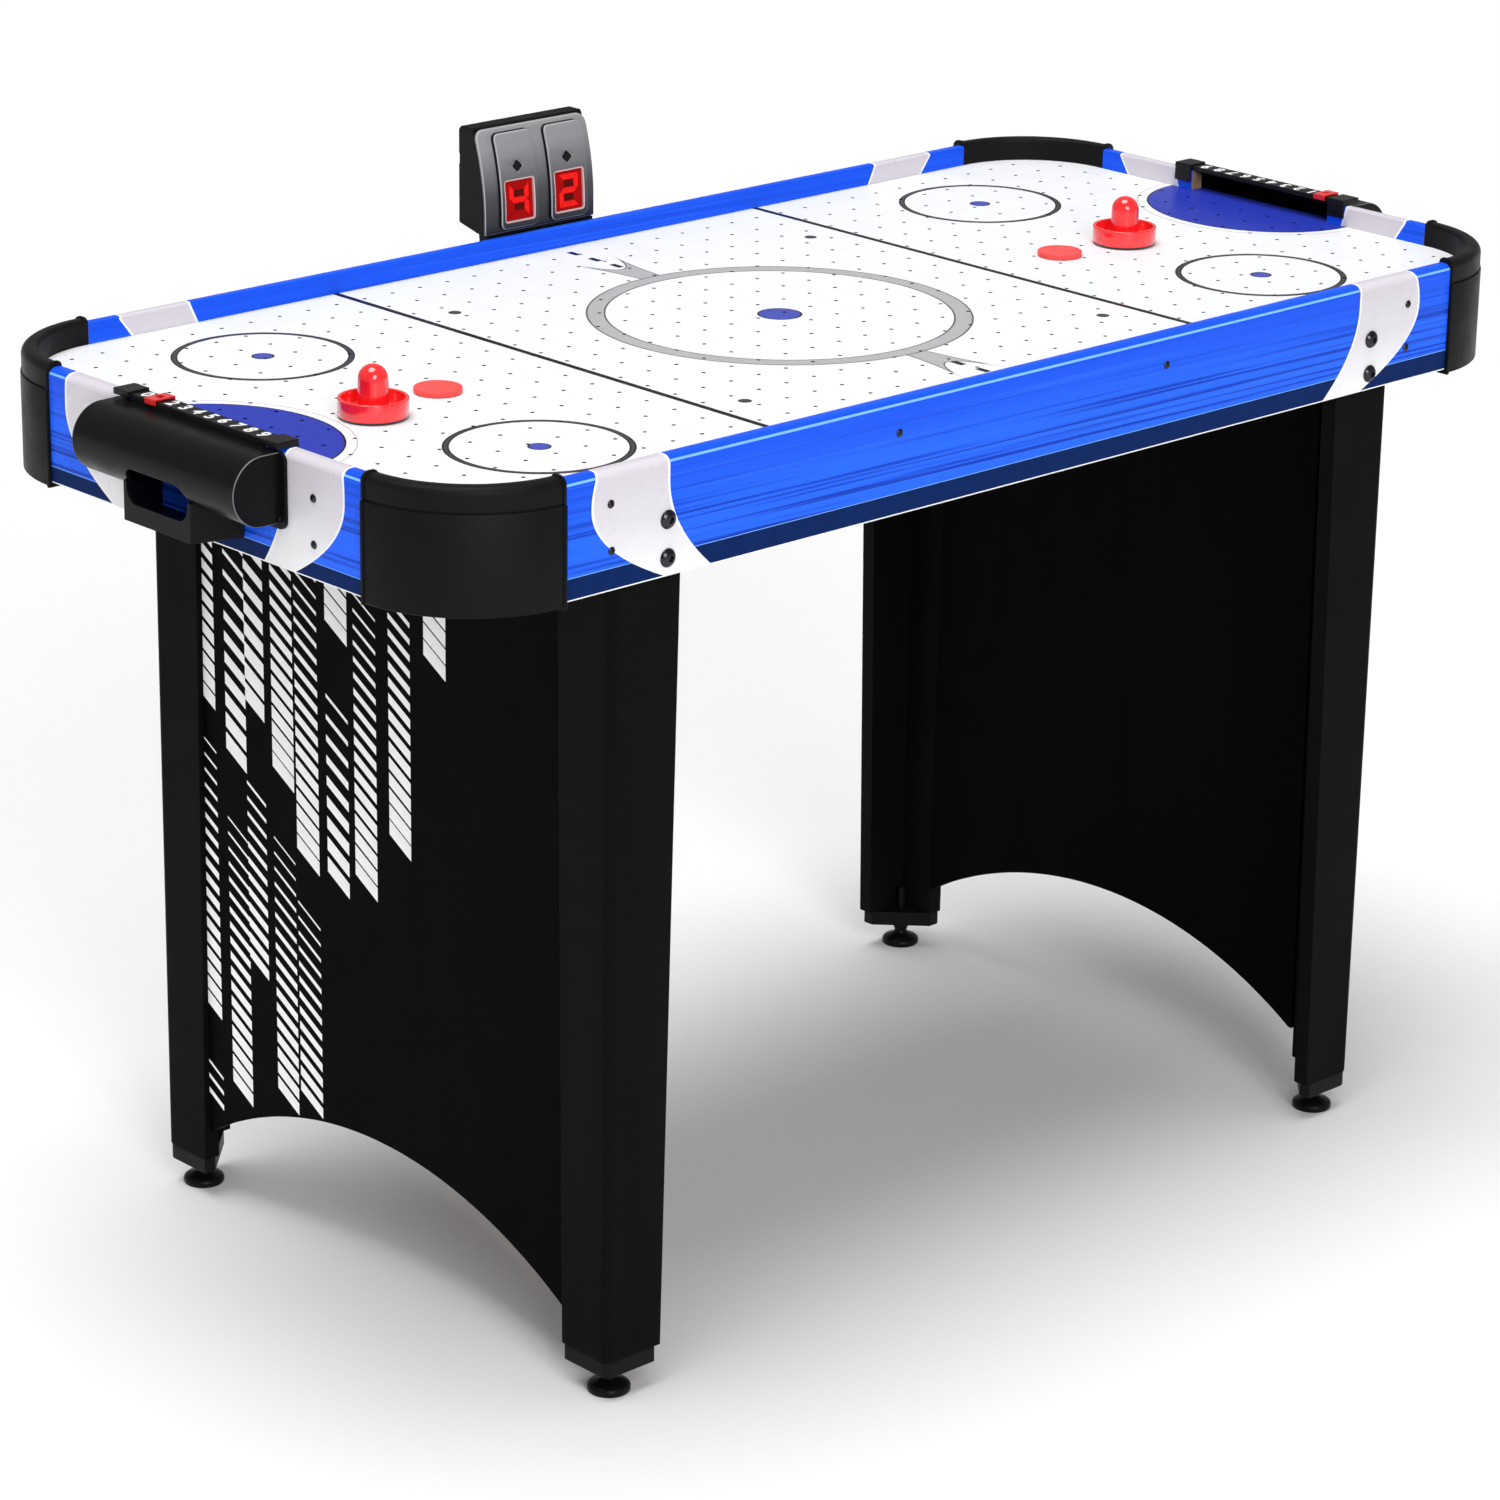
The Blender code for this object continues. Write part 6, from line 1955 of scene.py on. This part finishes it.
def build_pucks():
    edge = PUCK_RADIUS
    for name in SIDES:
        node = f"puck_{name}"
        low, high = (corner.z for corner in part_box(node))
        profile = [(0, high - PUCK_DISH), (edge - 3.2 * MM, high - PUCK_DISH),
                   (edge - 2.6 * MM, high)]
        profile += arc((edge - PUCK_ROUND, high - PUCK_ROUND), PUCK_ROUND, 90, 0, 4)
        profile += arc((edge - PUCK_ROUND, low + PUCK_ROUND), PUCK_ROUND, 0, -90, 4)
        profile += [(edge - 2.6 * MM, low), (edge - 3.2 * MM, low + PUCK_DISH),
                    (0, low + PUCK_DISH)]
        mesh = to_mesh(turned_bmesh(profile, 72), [RED_PUCK], 30)
        stand_in(node, mesh, "red_plastic", node, place=place_of(node))


# ---- stage, lights and camera ------------------------------------------------

CAMERA_PLACE = (-2.82059, -2.94958, 1.82530)
CAMERA_AZIMUTH = math.radians(43.40)
CAMERA_ELEVATION = math.radians(19.64)
CAMERA_ROLL = math.radians(0.913)
CAMERA_LENS = 120.63
FLOOR_HALF = 30.0
WORLD_STRENGTH = 0.34
SUN_DISTANCE = 4
SPARK_SIZE = 0.11
SPARK_ENERGY = 4.0
SPARK_TARGET = Vector((0.0, 0.0, 0.7))
SPARK_FIRST = Vector((-1.9, -2.5, 2.5))
SPARK_COLUMN = Vector((0.42, -0.25, 0.0))
SPARK_ROW = Vector((0.0, 0.0, 0.45))


def build_camera():
    data = bpy.data.cameras.new("camera")
    data.lens = CAMERA_LENS
    data.sensor_width = 36
    data.clip_start = 0.1
    data.clip_end = 100
    camera = add_object("camera", data)
    forward = Vector((math.sin(CAMERA_AZIMUTH) * math.cos(CAMERA_ELEVATION),
                      math.cos(CAMERA_AZIMUTH) * math.cos(CAMERA_ELEVATION),
                      -math.sin(CAMERA_ELEVATION)))
    camera.rotation_mode = "QUATERNION"
    camera.rotation_quaternion = (forward.to_track_quat("-Z", "Y")
                                  @ Quaternion((0, 0, 1), CAMERA_ROLL))
    camera.location = Vector(CAMERA_PLACE) + Vector((0, TABLE_Y, 0))
    bpy.context.scene.camera = camera


def build_stage():
    half = FLOOR_HALF
    bm = bmesh.new()
    bm.faces.new([bm.verts.new((x, y, 0.0))
                  for x, y in ((-half, -half), (half, -half), (half, half), (-half, half))])
    finish = Finish("pale_floor", (0.84, 0.84, 0.84), 0.75)
    finish.mottle(2.0, 0.006)
    finish.put("Specular IOR Level", 0.15)
    floor = add_object("floor", to_mesh(bm, [finish.material]))


def add_light(name, kind, place, towards, energy, **settings):
    """A light that stands at a place and shines towards a direction."""
    data = bpy.data.lights.new(name, kind)
    data.energy = energy
    for setting, value in settings.items():
        setattr(data, setting, value)
    light = add_object(name, data)
    light.location = place
    light.rotation_mode = "QUATERNION"
    light.rotation_quaternion = towards.to_track_quat("-Z", "Y")


# The two even lights from far off: where they stand, how wide they look, how strong they are.
SUNS = {"overhead": (Vector((-0.14, 0.04, 1.0)), 38, 2.45),
        "key": (Vector((-0.42, -0.88, 0.38)), 24, 1.00)}


def build_lights():
    world = bpy.data.worlds.new("studio")
    bpy.context.scene.world = world
    world.use_nodes = True
    background = world.node_tree.nodes["Background"]
    background.inputs["Color"].default_value = (1.0, 1.0, 1.0, 1.0)
    background.inputs["Strength"].default_value = WORLD_STRENGTH
    for name, (stand, spread, strength) in SUNS.items():
        add_light(name, "SUN", stand * SUN_DISTANCE, -stand, strength,
                  angle=math.radians(spread))
    # Small bright panels that leave crisp glints on glossy edges.
    for column in range(3):
        for row in range(2):
            place = SPARK_FIRST + column * SPARK_COLUMN + row * SPARK_ROW
            add_light(f"spark_{column}_{row}", "AREA", place, SPARK_TARGET - place,
                      SPARK_ENERGY, shape="SQUARE", size=SPARK_SIZE)
    bpy.context.scene.view_settings.view_transform = "Standard"


for build in (build_camera, build_stage, build_lights, build_playfield, build_side_rails,
              build_end_rails, build_corner_caps, build_goal_boxes, build_score_bars,
              build_score_digits, build_score_sliders, build_legs, build_foot_brackets,
              build_leveling_feet, build_end_panels, build_panel_prints, build_leg_bolts,
              build_small_screws, build_power_socket, build_blower_screws, build_unit_face,
              build_displays, build_buttons, build_unit_case, build_battery_cover,
              build_strikers, build_pucks, finish_cad_nodes):
    build()
